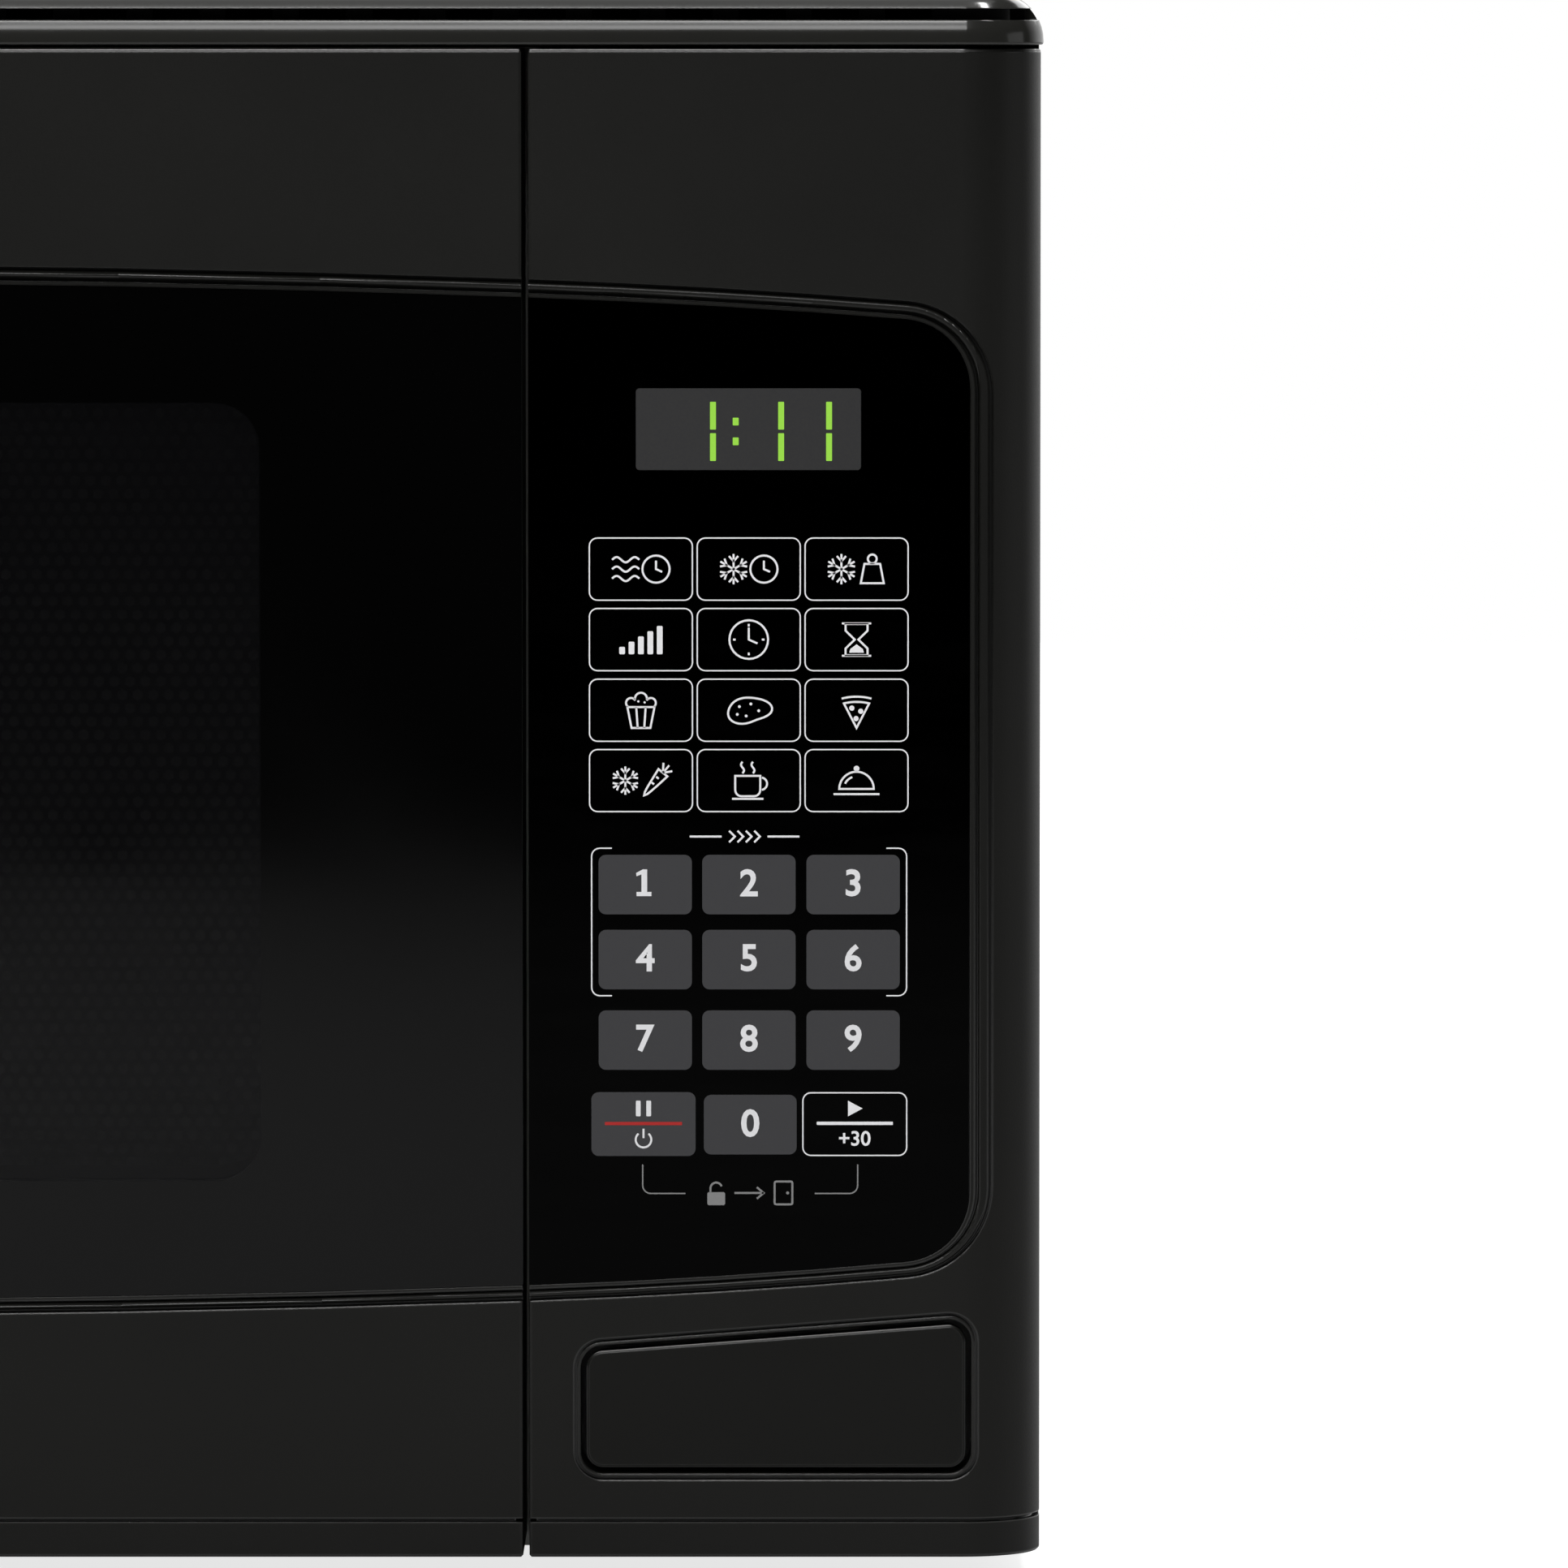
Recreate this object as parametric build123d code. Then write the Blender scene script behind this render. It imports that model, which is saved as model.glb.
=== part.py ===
from build123d import *
import math
import os

# Countertop microwave oven, in millimetres.
# +X is the oven's right, where the control column is, -Y is its front and +Z is up.
# The origin is on the surface that the oven stands on, under the middle of its bounding box.

# ---------- overall ----------
oven_width = 514.0
oven_depth = 392.0
oven_height = 307.0
foot_height = 7.0
skin_gap = 0.8                # visible gap under the vent grille
door_gap = 1.2                # visible gap between the door and the control column
part_gap = 0.3                # clearance beside pieces that must not bind
running_clearance = 0.05      # radial clearance of a shaft in its bore
sheet = 0.8                   # steel sheet of the cabinet and the cavity

# ---------- vent grille over the front ----------
grille_height = 10.0
grille_overhang = 0.5         # past the door and the control column, each side
grille_rim = 8.0              # solid rim round the grille's hollow
grille_lid = 2.4
grille_edge = 0.8             # left under the rounded shoulder
grille_edge_round = 0.5       # rounding of the lower front edge
grille_lip_height = 4.7       # bead under the slot
grille_slot_height = 2.2
grille_slot_depth = 6.5
grille_window_width = 9.0
grille_window_pitch = 14.0
grille_window_margin = 26.0

# ---------- door and control column mouldings ----------
face_setback = 1.0            # door and column faces behind the grille's nose
front_piece_depth = 38.0      # door and column, front face to back
column_width = 98.2
corner_radius = 15.0          # outer vertical corners, in plan
moulding_wall = 2.5
front_skin = 3.0
trim_line_height = 7.1        # shadow line above the bottom edge
trim_line_width = 0.7
trim_line_depth = 1.4
top_edge_drop = 0.55          # chamfer along the mouldings' top front edge, down the face
top_edge_set = 0.22           # and back from it
low_edge_chamfer = 0.4
gap_edge_round = 0.5          # upright front edges at the door gap

# ---------- glass outline across the door and the column ----------
glass_right_margin = 14.2
glass_left_margin = 22.0
glass_top_drop = 47.3         # from the column's top edge to the glass, at the door gap
glass_bottom_rise = 52.4      # from the column's bottom edge to the glass, at the door gap
crown_radius = 4300.0         # shallow arc across the middle
top_shoulder_radius = 1696.0
bottom_shoulder_radius = 1396.0
glass_corner_radius = 13.4
glass_recess = 0.4
glass_seat_depth = 4.0
glass_fit = 0.15
overlay_thickness = 1.6
lip_width = 0.95
inner_groove_width = 0.7
bead_width = 1.8
outer_groove_width = 0.85
groove_depth = 2.3
bead_drop = 0.2
bead_round = 0.6
border_edge_width = 0.42      # chamfer of the border's outer edge, along the face
border_edge_depth = 0.17
border_squeeze_top = 0.2      # share that the border loses along the top edge
border_squeeze_bottom = 0.31

# ---------- door ----------
door_shell_depth = 15.0
hinge_inset_x = 12.0          # hinge axis from the door's left side
hinge_inset_y = 14.0          # hinge axis from the door's back
hinge_pin_radius = 3.0
hinge_pin_engagement = 6.0
hinge_boss_height = 10.0
hinge_arm_thickness = 1.8
door_window_margin_x = 50.0
door_window_margin_z = 20.0
door_window_corner = 9.0
screen_thickness = 0.5
screen_overlap = 8.0
door_panel_thickness = 0.8
door_panel_window_margin = 6.0
film_thickness = 0.6
door_back_wall = 2.4
choke_depth = 12.0
choke_overlap_x = 21.5
choke_overlap_z = 17.5
choke_tooth = 12.0
choke_slit = 1.2
latch_inset = 5.8             # latch blade's middle from the door's free edge
latch_blade_thickness = 2.6
latch_hook_reach = 24.0
latch_hook_height = 11.0
latch_hook_barb = 3.5
latch_travel = 4.6
lower_hook_rise = 85.0        # above the door's bottom edge
upper_hook_drop = 74.2        # under the door's top edge
latch_blade_overrun = 22.0
latch_spring_length = 20.0

# ---------- door button and its release ----------
button_left = 11.0            # from the column's left side
button_width = 72.7
button_bottom = 17.3          # above the column's bottom edge
button_low_height = 22.2
button_high_height = 27.7
button_corner = 3.2
button_gap = 1.1
button_rim_width = 0.75
button_rim_rise = 0.3
button_shroud = 1.2           # wall of the tube behind the button's hole
button_groove_width = 0.55    # groove round the raised rim
button_groove_depth = 1.5
button_skin = 3.0
button_skirt_depth = 14.0
button_recess = 0.3
button_edge_width = 0.5       # chamfer round the button's face
button_edge_depth = 0.2
button_travel = 6.0
button_rest_gap = 0.6
lever_arm = 39.0
lever_setback = 27.0          # lever's pivot behind the column's face
lever_finger_reach = 32.0
lever_pin_radius = 2.0
lever_barrel_radius = 4.5
spring_radius = 4.3
spring_wire = 0.7
spring_turns = 9
spring_inset = 9.35           # springs' axes from the button's ends
spring_seat_height = 4.5      # collars behind the button that the springs bear on
spring_seat_margin = 0.9

# ---------- display and control board ----------
display_left = 20.5           # from the column's left side
display_width = 43.2
display_height = 15.8
display_drop = 64.6           # from the column's top edge
display_corner = 0.8
board_setback = 10.0          # behind the column's skin
board_thickness = 1.6

# ---------- body shell ----------
front_plate_gap = 1.0
front_plate_thickness = 1.0
front_plate_lip = 2.5         # lip under the body, short of the hinge
front_plate_lip_inset = 24.0
rear_spacer_depth = 8.0
cabinet_side_inset = 1.7
cabinet_drop = 1.0
cabinet_corner = 6.0
rear_flange_width = 12.0
gland_radius = 7.0
foot_radius = 12.5
foot_inset_x = 46.0
foot_inset_y = 62.0
rear_spacer_inset = 60.0
rear_spacer_drop = 38.0
rear_screw_rise = 53.0        # above the cover's lower edge
rear_screw_drop = 106.0       # under the cover's top

# ---------- cavity and turntable ----------
cavity_floor_z = 40.0
cavity_top_drop = 28.2        # cavity's ceiling under the door's top edge
cavity_left_margin = 34.3
cavity_right_margin = 33.8    # cavity's right side from the door's free edge
cavity_rear_space = 3.6
tray_gap = 11.0               # tray's rim from the nearest cavity wall
tray_thickness = 5.0
tray_rim_height = 13.0
tray_rim_width = 10.0
tray_wall = 4.0
tray_lug_radius = 3.5
roller_radius = 8.0
roller_width = 6.0
roller_axle_radius = 1.6
roller_count = 3
ring_radius = 98.0
ring_width = 8.0
ring_height = 5.0
motor_radius = 24.5
motor_height = 15.0
motor_shaft_radius = 3.45
hub_radius = 9.0
lobe_reach = 15.0
lobe_width = 6.0
lobe_height = 8.0

# ---------- microwave source, cooling and lamp ----------
port_width = 78.0
port_height = 40.0
port_setback = 12.5           # port's middle behind the cavity's middle
port_drop = 42.0              # port's middle under the cavity's ceiling
mica_margin = 9.0
mica_thickness = 1.0
guide_depth = 34.0
guide_drop = 14.0             # antenna under the port's middle
magnetron_width = 88.0
magnetron_height = 72.0
magnetron_length = 54.0
antenna_radius = 9.0
fan_radius = 42.0
fan_hub_radius = 11.0
fan_tip_gap = 2.0
fan_shaft_radius = 2.5
fan_blade_count = 7
lamp_setback = 59.0           # behind the front plate
lamp_drop = 32.0
transformer_setback = 106.0   # behind the front plate

# ---------- worked out from the sizes above ----------
half_width = oven_width / 2
nose_y = -oven_depth / 2
back_y = oven_depth / 2
shell_back_y = back_y - rear_spacer_depth
face_y = nose_y + face_setback
front_back_y = face_y + front_piece_depth
plate_front_y = front_back_y + front_plate_gap
plate_back_y = plate_front_y + front_plate_thickness
grille_bottom_z = oven_height - grille_height
front_top_z = grille_bottom_z - skin_gap
front_bottom_z = foot_height
door_left_x = -half_width + grille_overhang
column_right_x = half_width - grille_overhang
column_left_x = column_right_x - column_width
door_right_x = column_left_x - door_gap
cabinet_x = half_width - cabinet_side_inset
cabinet_top_z = oven_height - cabinet_drop
cabinet_inner_x = cabinet_x - sheet
base_top_z = foot_height + sheet
rear_panel_y = shell_back_y - sheet
cavity_left_x = -half_width + cavity_left_margin
cavity_right_x = door_right_x - cavity_right_margin
cavity_back_y = rear_panel_y - sheet - cavity_rear_space - sheet
cavity_ceiling_z = front_top_z - cavity_top_drop
cavity_mid_x = (cavity_left_x + cavity_right_x) / 2
cavity_mid_y = (plate_back_y + cavity_back_y) / 2
bay_left_x = cavity_right_x + sheet
bay_mid_x = (bay_left_x + cabinet_inner_x) / 2
tray_radius = min(cavity_right_x - cavity_left_x, cavity_back_y - plate_back_y) / 2 - tray_gap

glass_right_x = half_width - glass_right_margin
glass_left_x = -half_width + glass_left_margin
glass_gap_top_z = front_top_z - glass_top_drop
glass_gap_bottom_z = front_bottom_z + glass_bottom_rise
glass_front_y = face_y + glass_recess
seat_y = face_y + glass_seat_depth
skin_back_y = seat_y + front_skin
bead_outer = lip_width + inner_groove_width + bead_width
border_width = bead_outer + outer_groove_width

hinge_x = door_left_x + hinge_inset_x
hinge_y = front_back_y - hinge_inset_y
shell_y = face_y + door_shell_depth
panel_back_y = front_back_y - door_back_wall
panel_front_y = panel_back_y - door_panel_thickness
choke_left_x = cavity_left_x - choke_overlap_x
choke_right_x = cavity_right_x + choke_overlap_x
choke_bottom_z = cavity_floor_z - choke_overlap_z
choke_top_z = cavity_ceiling_z + choke_overlap_z
blade_x = door_right_x - latch_inset
blade_y = panel_back_y - 6.6
lower_hook_height = front_bottom_z + lower_hook_rise
upper_hook_height = front_top_z - upper_hook_drop
hook_levels = (lower_hook_height, upper_hook_height)
hook_half = latch_hook_height / 2
hook_tip_y = front_back_y + latch_hook_reach
link_x = blade_x + 4.2
latch_wall_x = link_x + 4.0

button_x = column_left_x + button_left + button_width / 2
button_front_y = face_y + button_recess
button_mid_z = front_bottom_z + button_bottom + button_low_height / 2
lever_y = face_y + lever_setback
lever_z = button_mid_z + lever_arm
lever_left_x = column_left_x + moulding_wall + 5.2
lever_right_x = button_x + 16.0
display_x = column_left_x + display_left + display_width / 2
display_z = front_top_z - display_drop - display_height / 2
board_y = skin_back_y + board_setback
board_left_x = column_left_x + 6.5
board_right_x = glass_right_x - 3.3
board_bottom_z = lever_z + 14.0
board_top_z = glass_gap_top_z - 4.0

port_y = cavity_mid_y + port_setback
port_z = cavity_ceiling_z - port_drop
antenna_z = port_z - guide_drop
guide_outer_x = bay_left_x + guide_depth
lamp_y = plate_back_y + lamp_setback
lamp_z = cavity_ceiling_z - lamp_drop
transformer_y = plate_back_y + transformer_setback
board_front_y = transformer_y + 57.0
fan_z = port_z - 8.0
shroud_y = cavity_back_y - 34.0
wheel_z = cavity_floor_z + part_gap + roller_radius
wheel_start = ring_radius + ring_width / 2 + part_gap
tray_bottom_z = wheel_z + roller_radius + part_gap
motor_top_z = cavity_floor_z - sheet
motor_bottom_z = motor_top_z - motor_height
shaft_top_z = cavity_floor_z + 11.0


# ---------- helpers ----------
def slab(x0, x1, y0, y1, z0, z1):
    """A box between two corners."""
    return Pos((x0 + x1) / 2, (y0 + y1) / 2, (z0 + z1) / 2) * Box(x1 - x0, y1 - y0, z1 - z0)


def rod(axis, x, y, z, length, radius):
    """A cylinder that starts at a point and runs along +X, +Y or +Z."""
    turn = {"x": Rot(0, 90, 0), "y": Rot(-90, 0, 0), "z": Rot(0, 0, 0)}[axis]
    return Pos(x, y, z) * turn * Cylinder(radius, length, align=(Align.CENTER, Align.CENTER, Align.MIN))


def front_prism(sketch, y0, y1):
    """A sketch drawn in X and Z, as seen from the front, between two depths."""
    return extrude(Plane.XZ.offset(-y1) * sketch, amount=y1 - y0)


def plan_prism(sketch, z0, z1):
    """A sketch drawn in X and Y between two heights."""
    return extrude(Plane.XY.offset(z0) * sketch, amount=z1 - z0)


def side_prism(sketch, x0, x1):
    """A sketch drawn in Y and Z between two widths."""
    return extrude(Plane.YZ.offset(x0) * sketch, amount=x1 - x0)


def rectangle(x0, x1, y0, y1, radius=0.0):
    """A rectangle between two corners, with rounded corners if a radius is given."""
    size = (x1 - x0, y1 - y0)
    face = RectangleRounded(*size, radius) if radius else Rectangle(*size)
    return Pos((x0 + x1) / 2, (y0 + y1) / 2) * face


def rounded(sketch, *corners):
    """Rounds the corners that are nearest to the given points, each with its own radius."""
    for x, y, radius in corners:
        corner = min(sketch.vertices(), key=lambda v: (v.X - x) ** 2 + (v.Y - y) ** 2)
        sketch = fillet(corner, radius)
    return sketch


def slot_grid(columns, rows, pitch_x, pitch_y, width, height):
    """A grid of upright round-ended slots, centred on its sketch plane."""
    one = SlotOverall(height, width, rotation=90)
    return Sketch() + [place * one for place in GridLocations(pitch_x, pitch_y, columns, rows)]


def hole_grid(columns, rows, pitch, radius):
    return Sketch() + [place * Circle(radius) for place in GridLocations(pitch, pitch, columns, rows)]


def on_axis(shape, angle=0.0):
    """Moves a piece drawn about Z to the turntable's axis, turned by an angle."""
    return Pos(cavity_mid_x, cavity_mid_y, 0) * Rot(0, 0, angle) * shape


def coil(x, y, z, turn, radius, wire, turns, length):
    """A round wire on a helix that starts at a point. turn points it along its axis."""
    helix = Helix(length / turns, length, radius)
    section = Plane(origin=helix @ 0, z_dir=helix % 0) * Circle(wire)
    return Pos(x, y, z) * turn * sweep(section, path=helix)


screw_radius = 1.6


def screw(x, y, z, turn, head_radius=3.6, length=7.0):
    """A pan-head screw with a cross recess. Its head is on its +Z side before it is turned."""
    head = fillet(rod("z", 0, 0, 0, 2.2, head_radius).edges().group_by(Axis.Z)[-1], 0.9)
    for size in ((4.0, 0.9), (0.9, 4.0)):
        head -= Pos(0, 0, 2.0) * Box(*size, 1.6)
    return Pos(x, y, z) * turn * (head + rod("z", 0, 0, -length, length, screw_radius))


toward_back = Rot(-90, 0, 0)
toward_front = Rot(90, 0, 0)
toward_floor = Rot(180, 0, 0)


def screw_hole(axis, x, y, z):
    """Clearance hole for a screw, long enough for any sheet that it goes through."""
    start = {"y": (x, y - 12, z), "z": (x, y, z - 12)}[axis]
    return rod(axis, *start, 24, screw_radius + 0.1)


# ---------- the glass outline that runs across the door and the column ----------
def outline_side(gap_z, shoulder_radius, up, grow):
    """Points of the three tangent arcs from the outline's middle to its right side, about its middle line.

    up is 1 for the top edge and -1 for the bottom one. Each arc is its start, middle and end.
    """
    half = (glass_right_x - glass_left_x) / 2 + grow
    gap_x = column_left_x - (glass_right_x + glass_left_x) / 2
    lean = math.asin(gap_x / crown_radius)
    crown_z = gap_z - up * crown_radius * math.cos(lean)
    shoulder_x = (crown_radius - shoulder_radius) * math.sin(lean)
    shoulder_z = crown_z + up * (crown_radius - shoulder_radius) * math.cos(lean)
    reach = shoulder_radius - glass_corner_radius
    corner = glass_corner_radius + grow
    turn = math.asin((half - corner - shoulder_x) / reach)
    corner_z = shoulder_z + up * reach * math.cos(turn)
    arcs = (
        (0.0, crown_z, crown_radius + grow, 0.0, lean),
        (shoulder_x, shoulder_z, shoulder_radius + grow, lean, turn),
        (half - corner, corner_z, corner, turn, math.pi / 2),
    )
    return [
        [(x + r * math.sin(a), z + up * r * math.cos(a)) for a in (start, (start + end) / 2, end)]
        for x, z, r, start, end in arcs
    ]


def glass_outline(grow=0.0):
    """The bowed outline of the glass, grown outwards by a distance."""
    top = outline_side(glass_gap_top_z - border_squeeze_top * grow, top_shoulder_radius, 1, grow)
    bottom = outline_side(glass_gap_bottom_z + border_squeeze_bottom * grow, bottom_shoulder_radius, -1, grow)
    right = top + [[top[-1][-1], bottom[-1][-1]]] + [arc[::-1] for arc in bottom[::-1]]
    left = [[(-x, z) for x, z in points[::-1]] for points in right[::-1]]
    edges = []
    for points in right + left:
        edges.append(ThreePointArc(*points) if len(points) == 3 else Line(*points))
    return Pos((glass_right_x + glass_left_x) / 2, 0) * make_face(edges)


def glass_prism(grow, y0, y1):
    return front_prism(glass_outline(grow), y0, y1)


def glass_seat_cut():
    """The seat of the glass and the stepped border round it: two grooves that leave a lip and a round bead."""
    top_y, bottom_y = face_y + bead_drop, face_y + groove_depth
    bead = front_prism(glass_outline(bead_outer) - glass_outline(lip_width + inner_groove_width), top_y, bottom_y)
    bead = fillet(bead.faces().sort_by(Axis.Y)[0].edges(), bead_round)
    edge = glass_prism(border_width + border_edge_width, face_y, face_y + border_edge_depth)
    back = edge.faces().sort_by(Axis.Y)[-1]
    edge = chamfer(back.edges(), border_edge_width - 0.01, border_edge_depth - 0.01, reference=back)
    border = glass_prism(border_width, face_y, bottom_y) + edge - bead
    return border - glass_prism(lip_width, top_y, bottom_y) + glass_prism(0.0, face_y, seat_y)


def core_behind_skin(x0, x1):
    """Room behind the thin skin, outside the glass and its border."""
    z0, z1 = front_bottom_z + moulding_wall, front_top_z - moulding_wall
    room = slab(x0, x1, face_y + front_skin, skin_back_y + 1, z0, z1)
    return room - glass_prism(border_width + moulding_wall, face_y, skin_back_y + 2)


def trim_line(inner_plan):
    """The shadow line round the bottom of the door and the column, outside a plan outline."""
    z = front_bottom_z + trim_line_height
    half = trim_line_width / 2
    band = slab(-half_width, half_width, nose_y, plate_front_y, z - half, z + half)
    return band - plan_prism(inner_plan, z - half, z + half)


# ---------- vent grille ----------
def grille_plan(inset, back):
    corner = corner_radius - inset
    x = half_width - inset
    y = nose_y + inset
    return rounded(rectangle(-x, x, y, back), (-x, y, corner), (x, y, corner))


def vent_grille():
    body = plan_prism(grille_plan(0.0, plate_back_y), grille_bottom_z, oven_height)
    shoulder = [e for e in body.edges().group_by(Axis.Z)[-1] if e.center().Y < plate_back_y - 0.1]
    body = fillet(shoulder, grille_height - grille_edge)
    under = [e for e in body.edges().group_by(Axis.Z)[0] if e.center().Y < plate_back_y - 0.1]
    body = fillet(under, grille_edge_round)
    body -= plan_prism(grille_plan(grille_rim, plate_back_y), grille_bottom_z, oven_height - grille_lid)
    slot_z = grille_bottom_z + grille_lip_height
    slot_top_z = slot_z + grille_slot_height
    around = rectangle(-half_width, half_width, nose_y, plate_back_y - grille_rim)
    body -= plan_prism(around - grille_plan(grille_slot_depth, plate_back_y), slot_z, slot_top_z)
    count = int((oven_width - 2 * grille_window_margin) / grille_window_pitch) + 1
    windows = rectangle(-grille_window_width / 2, grille_window_width / 2, slot_z + 0.2, slot_top_z - 0.2)
    windows = Sketch() + [place * windows for place in GridLocations(grille_window_pitch, 1, count, 1)]
    return body - front_prism(windows, nose_y + grille_slot_depth - 0.5, nose_y + grille_rim + 0.5)


# ---------- control column ----------
def column_plan(inset=0.0):
    """Plan outline: square beside the door, rounded at the outer corner."""
    x, y = column_right_x - inset, face_y + inset
    return rounded(rectangle(column_left_x + inset, x, y, front_back_y), (x, y, corner_radius - inset))


def eased_front(body, gap_x):
    """Rounds the upright edge at the door gap and chamfers the top and bottom edges of the face."""
    middle = Vector(gap_x, face_y, (front_bottom_z + front_top_z) / 2)
    body = fillet(body.edges().sort_by_distance(middle)[0], gap_edge_round)
    for level, sizes in ((-1, (top_edge_set, top_edge_drop)), (0, (low_edge_chamfer, low_edge_chamfer))):
        flat = body.faces().filter_by(Axis.Z).sort_by(Axis.Z)[level]
        edges = [e for e in flat.edges() if e.center().Y < front_back_y - 0.1 and abs(e.center().X - gap_x) > 0.4]
        body = chamfer(edges, *sizes, reference=flat)
    return body


def button_outline(grow=0.0):
    """The door button from the front: a rounded rectangle whose top edge rises to the right."""
    x0, x1 = button_x - button_width / 2 - grow, button_x + button_width / 2 + grow
    z0 = front_bottom_z + button_bottom - grow
    slope = (button_high_height - button_low_height) / button_width
    low = front_bottom_z + button_bottom + button_low_height + grow * (1 - slope)
    high = low + slope * (x1 - x0)
    points = [(x0, z0), (x1, z0), (x1, high), (x0, low)]
    shape = make_face(Polyline(*points, close=True))
    return rounded(shape, *[(x, z, button_corner + grow) for x, z in points])


def display_window(grow=0.0):
    half_x, half_z = display_width / 2 + grow, display_height / 2 + grow
    corner = display_corner + grow
    return rectangle(display_x - half_x, display_x + half_x, display_z - half_z, display_z + half_z, corner)


ribbon_x = board_right_x - 24.0
ribbon_z = board_bottom_z + 16.0


def column_boss_places():
    left_x, right_x = column_left_x + 7.5, column_right_x - 9.0
    low_z, high_z = front_bottom_z + 12.0, front_top_z - 9.0
    return [(left_x, high_z), (right_x, high_z), (left_x + 3.0, low_z - 4.0), (right_x, low_z)]


def board_boss_places():
    return [(x, z) for x in (board_left_x + 5, board_right_x - 5) for z in (board_bottom_z + 5, board_top_z - 5)]


def control_fascia():
    z0, z1 = front_bottom_z, front_top_z
    body = eased_front(plan_prism(column_plan(), z0, z1), column_left_x)
    inner_x, outer_x = column_left_x + moulding_wall, column_right_x - moulding_wall
    hollow = rectangle(inner_x, outer_x, skin_back_y, front_back_y)
    hollow = rounded(hollow, (outer_x, skin_back_y, corner_radius - glass_seat_depth - front_skin))
    body -= plan_prism(hollow, z0 + moulding_wall, z1 - moulding_wall)
    body -= core_behind_skin(inner_x, column_right_x - corner_radius)
    body -= glass_seat_cut()
    body -= trim_line(column_plan(trim_line_depth))
    body += slab(column_left_x + 2, column_right_x - 0.3, front_back_y - 20, front_back_y - 1, z1 - 0.5, grille_bottom_z)
    rim_outline = button_outline(button_gap + button_rim_width)
    groove = button_outline(button_gap + button_rim_width + button_groove_width) - rim_outline
    body -= front_prism(groove, face_y, face_y + button_groove_depth)
    shroud = button_outline(button_gap + button_shroud)
    body += front_prism(shroud, face_y + front_skin - 0.5, face_y + front_skin + 8.0)
    body -= front_prism(button_outline(button_gap), face_y - 1, face_y + front_skin + 9.0)
    rim = front_prism(rim_outline - button_outline(button_gap), face_y - button_rim_rise, face_y + 1.0)
    body += fillet(rim.faces().sort_by(Axis.Y)[0].edges(), button_rim_width * 0.4)
    body -= front_prism(display_window(), seat_y - 1, skin_back_y + 1)
    body -= slab(ribbon_x - 1, ribbon_x + 21, seat_y - 1, skin_back_y + 1, ribbon_z - 0.6, ribbon_z + 1.0)
    for x0 in (lever_left_x - 3.2, lever_right_x + 0.8):
        ear = slab(x0, x0 + 2.4, skin_back_y - 0.5, lever_y + 4.5, lever_z - 4.5, lever_z + 4.5)
        body += ear - rod("x", x0 - 1, lever_y, lever_z, 5, lever_pin_radius + running_clearance)
    for x, z in column_boss_places():
        start = skin_back_y - (4.5 if x < column_right_x - corner_radius else 0.5)
        body += rod("y", x, start, z, plate_front_y - start, 4.0)
        body -= rod("y", x, plate_front_y - 10, z, 11, screw_radius + 0.1)
    for x, z in board_boss_places():
        body += rod("y", x, skin_back_y - 0.5, z, board_setback + 0.5, 3.0)
    return body


def column_block():
    """Everything to the right of the door gap, to cut the column's share out of the glass outline."""
    return slab(column_left_x, column_right_x, nose_y, front_back_y, front_bottom_z, front_top_z)


def touch_overlay():
    """The printed glossy sheet over the keys, open where the display looks through."""
    plate = glass_prism(-glass_fit, glass_front_y, glass_front_y + overlay_thickness) & column_block()
    return plate - front_prism(display_window(), nose_y, skin_back_y)


def keypad_membrane():
    """The key matrix behind the overlay, with the ribbon that runs back to the control board."""
    plate = glass_prism(-glass_fit, glass_front_y + overlay_thickness, seat_y) & column_block()
    plate -= front_prism(display_window(), nose_y, skin_back_y)
    return plate + slab(ribbon_x, ribbon_x + 20, seat_y - 0.2, board_y, ribbon_z, ribbon_z + 0.4)


def display_lens():
    return front_prism(display_window(-0.1), glass_front_y, skin_back_y)


def display_module():
    return front_prism(display_window(2.0), skin_back_y, board_y)


def control_board():
    x0, x1, z0, z1 = board_left_x, board_right_x, board_bottom_z, board_top_z
    back = board_y + board_thickness
    parts = [
        slab(x0 + 6, x0 + 28, back, back + 13, z0 + 12, z0 + 36),
        slab(x0 + 34, x0 + 48, back, back + 11, z0 + 12, z0 + 32),
        slab(x0 + 8, x0 + 36, back, back + 14, z0 + 48, z0 + 74),
        slab(x0 + 12, x0 + 40, back, back + 3.5, z0 + 96, z0 + 106),
        rod("y", x0 + 50, back, z0 + 52, 13, 5.0),
        rod("y", x0 + 50, back, z0 + 68, 9, 4.0),
        rod("y", x0 + 62, back, z0 + 100, 8, 6.0),
        slab(x0 + 12, x0 + 40, back, back + 9, z1 - 18, z1 - 11),
    ]
    return front_prism(rectangle(x0, x1, z0, z1, 2.0), board_y, back) + parts


# ---------- door button, its springs and the release lever ----------
def button_spring_places():
    reach = button_width / 2 - spring_inset
    return [button_x - reach, button_x + reach]


def door_button():
    y0, y1 = button_front_y, button_front_y + button_skin
    face = front_prism(button_outline(), y0, y1)
    front = face.faces().sort_by(Axis.Y)[0]
    face = chamfer(front.edges(), button_edge_width, button_edge_depth, reference=front)
    body = face + front_prism(button_outline(-1.0) - button_outline(-2.8), y1 - 0.2, y0 + button_skirt_depth)
    push_y = lever_y - lever_web / 2 - button_rest_gap
    body += slab(button_x - 12, button_x + 12, y1 - 0.2, push_y, button_mid_z - 1.5, button_mid_z + 1.5)
    for x in button_spring_places():
        body += rod("y", x, y1 - 0.2, button_mid_z, 12, spring_radius - spring_wire - 0.4)
        body += rod("y", x, y1 - 0.2, button_mid_z, spring_seat_height + 0.2, spring_radius + spring_seat_margin)
    return body


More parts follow.
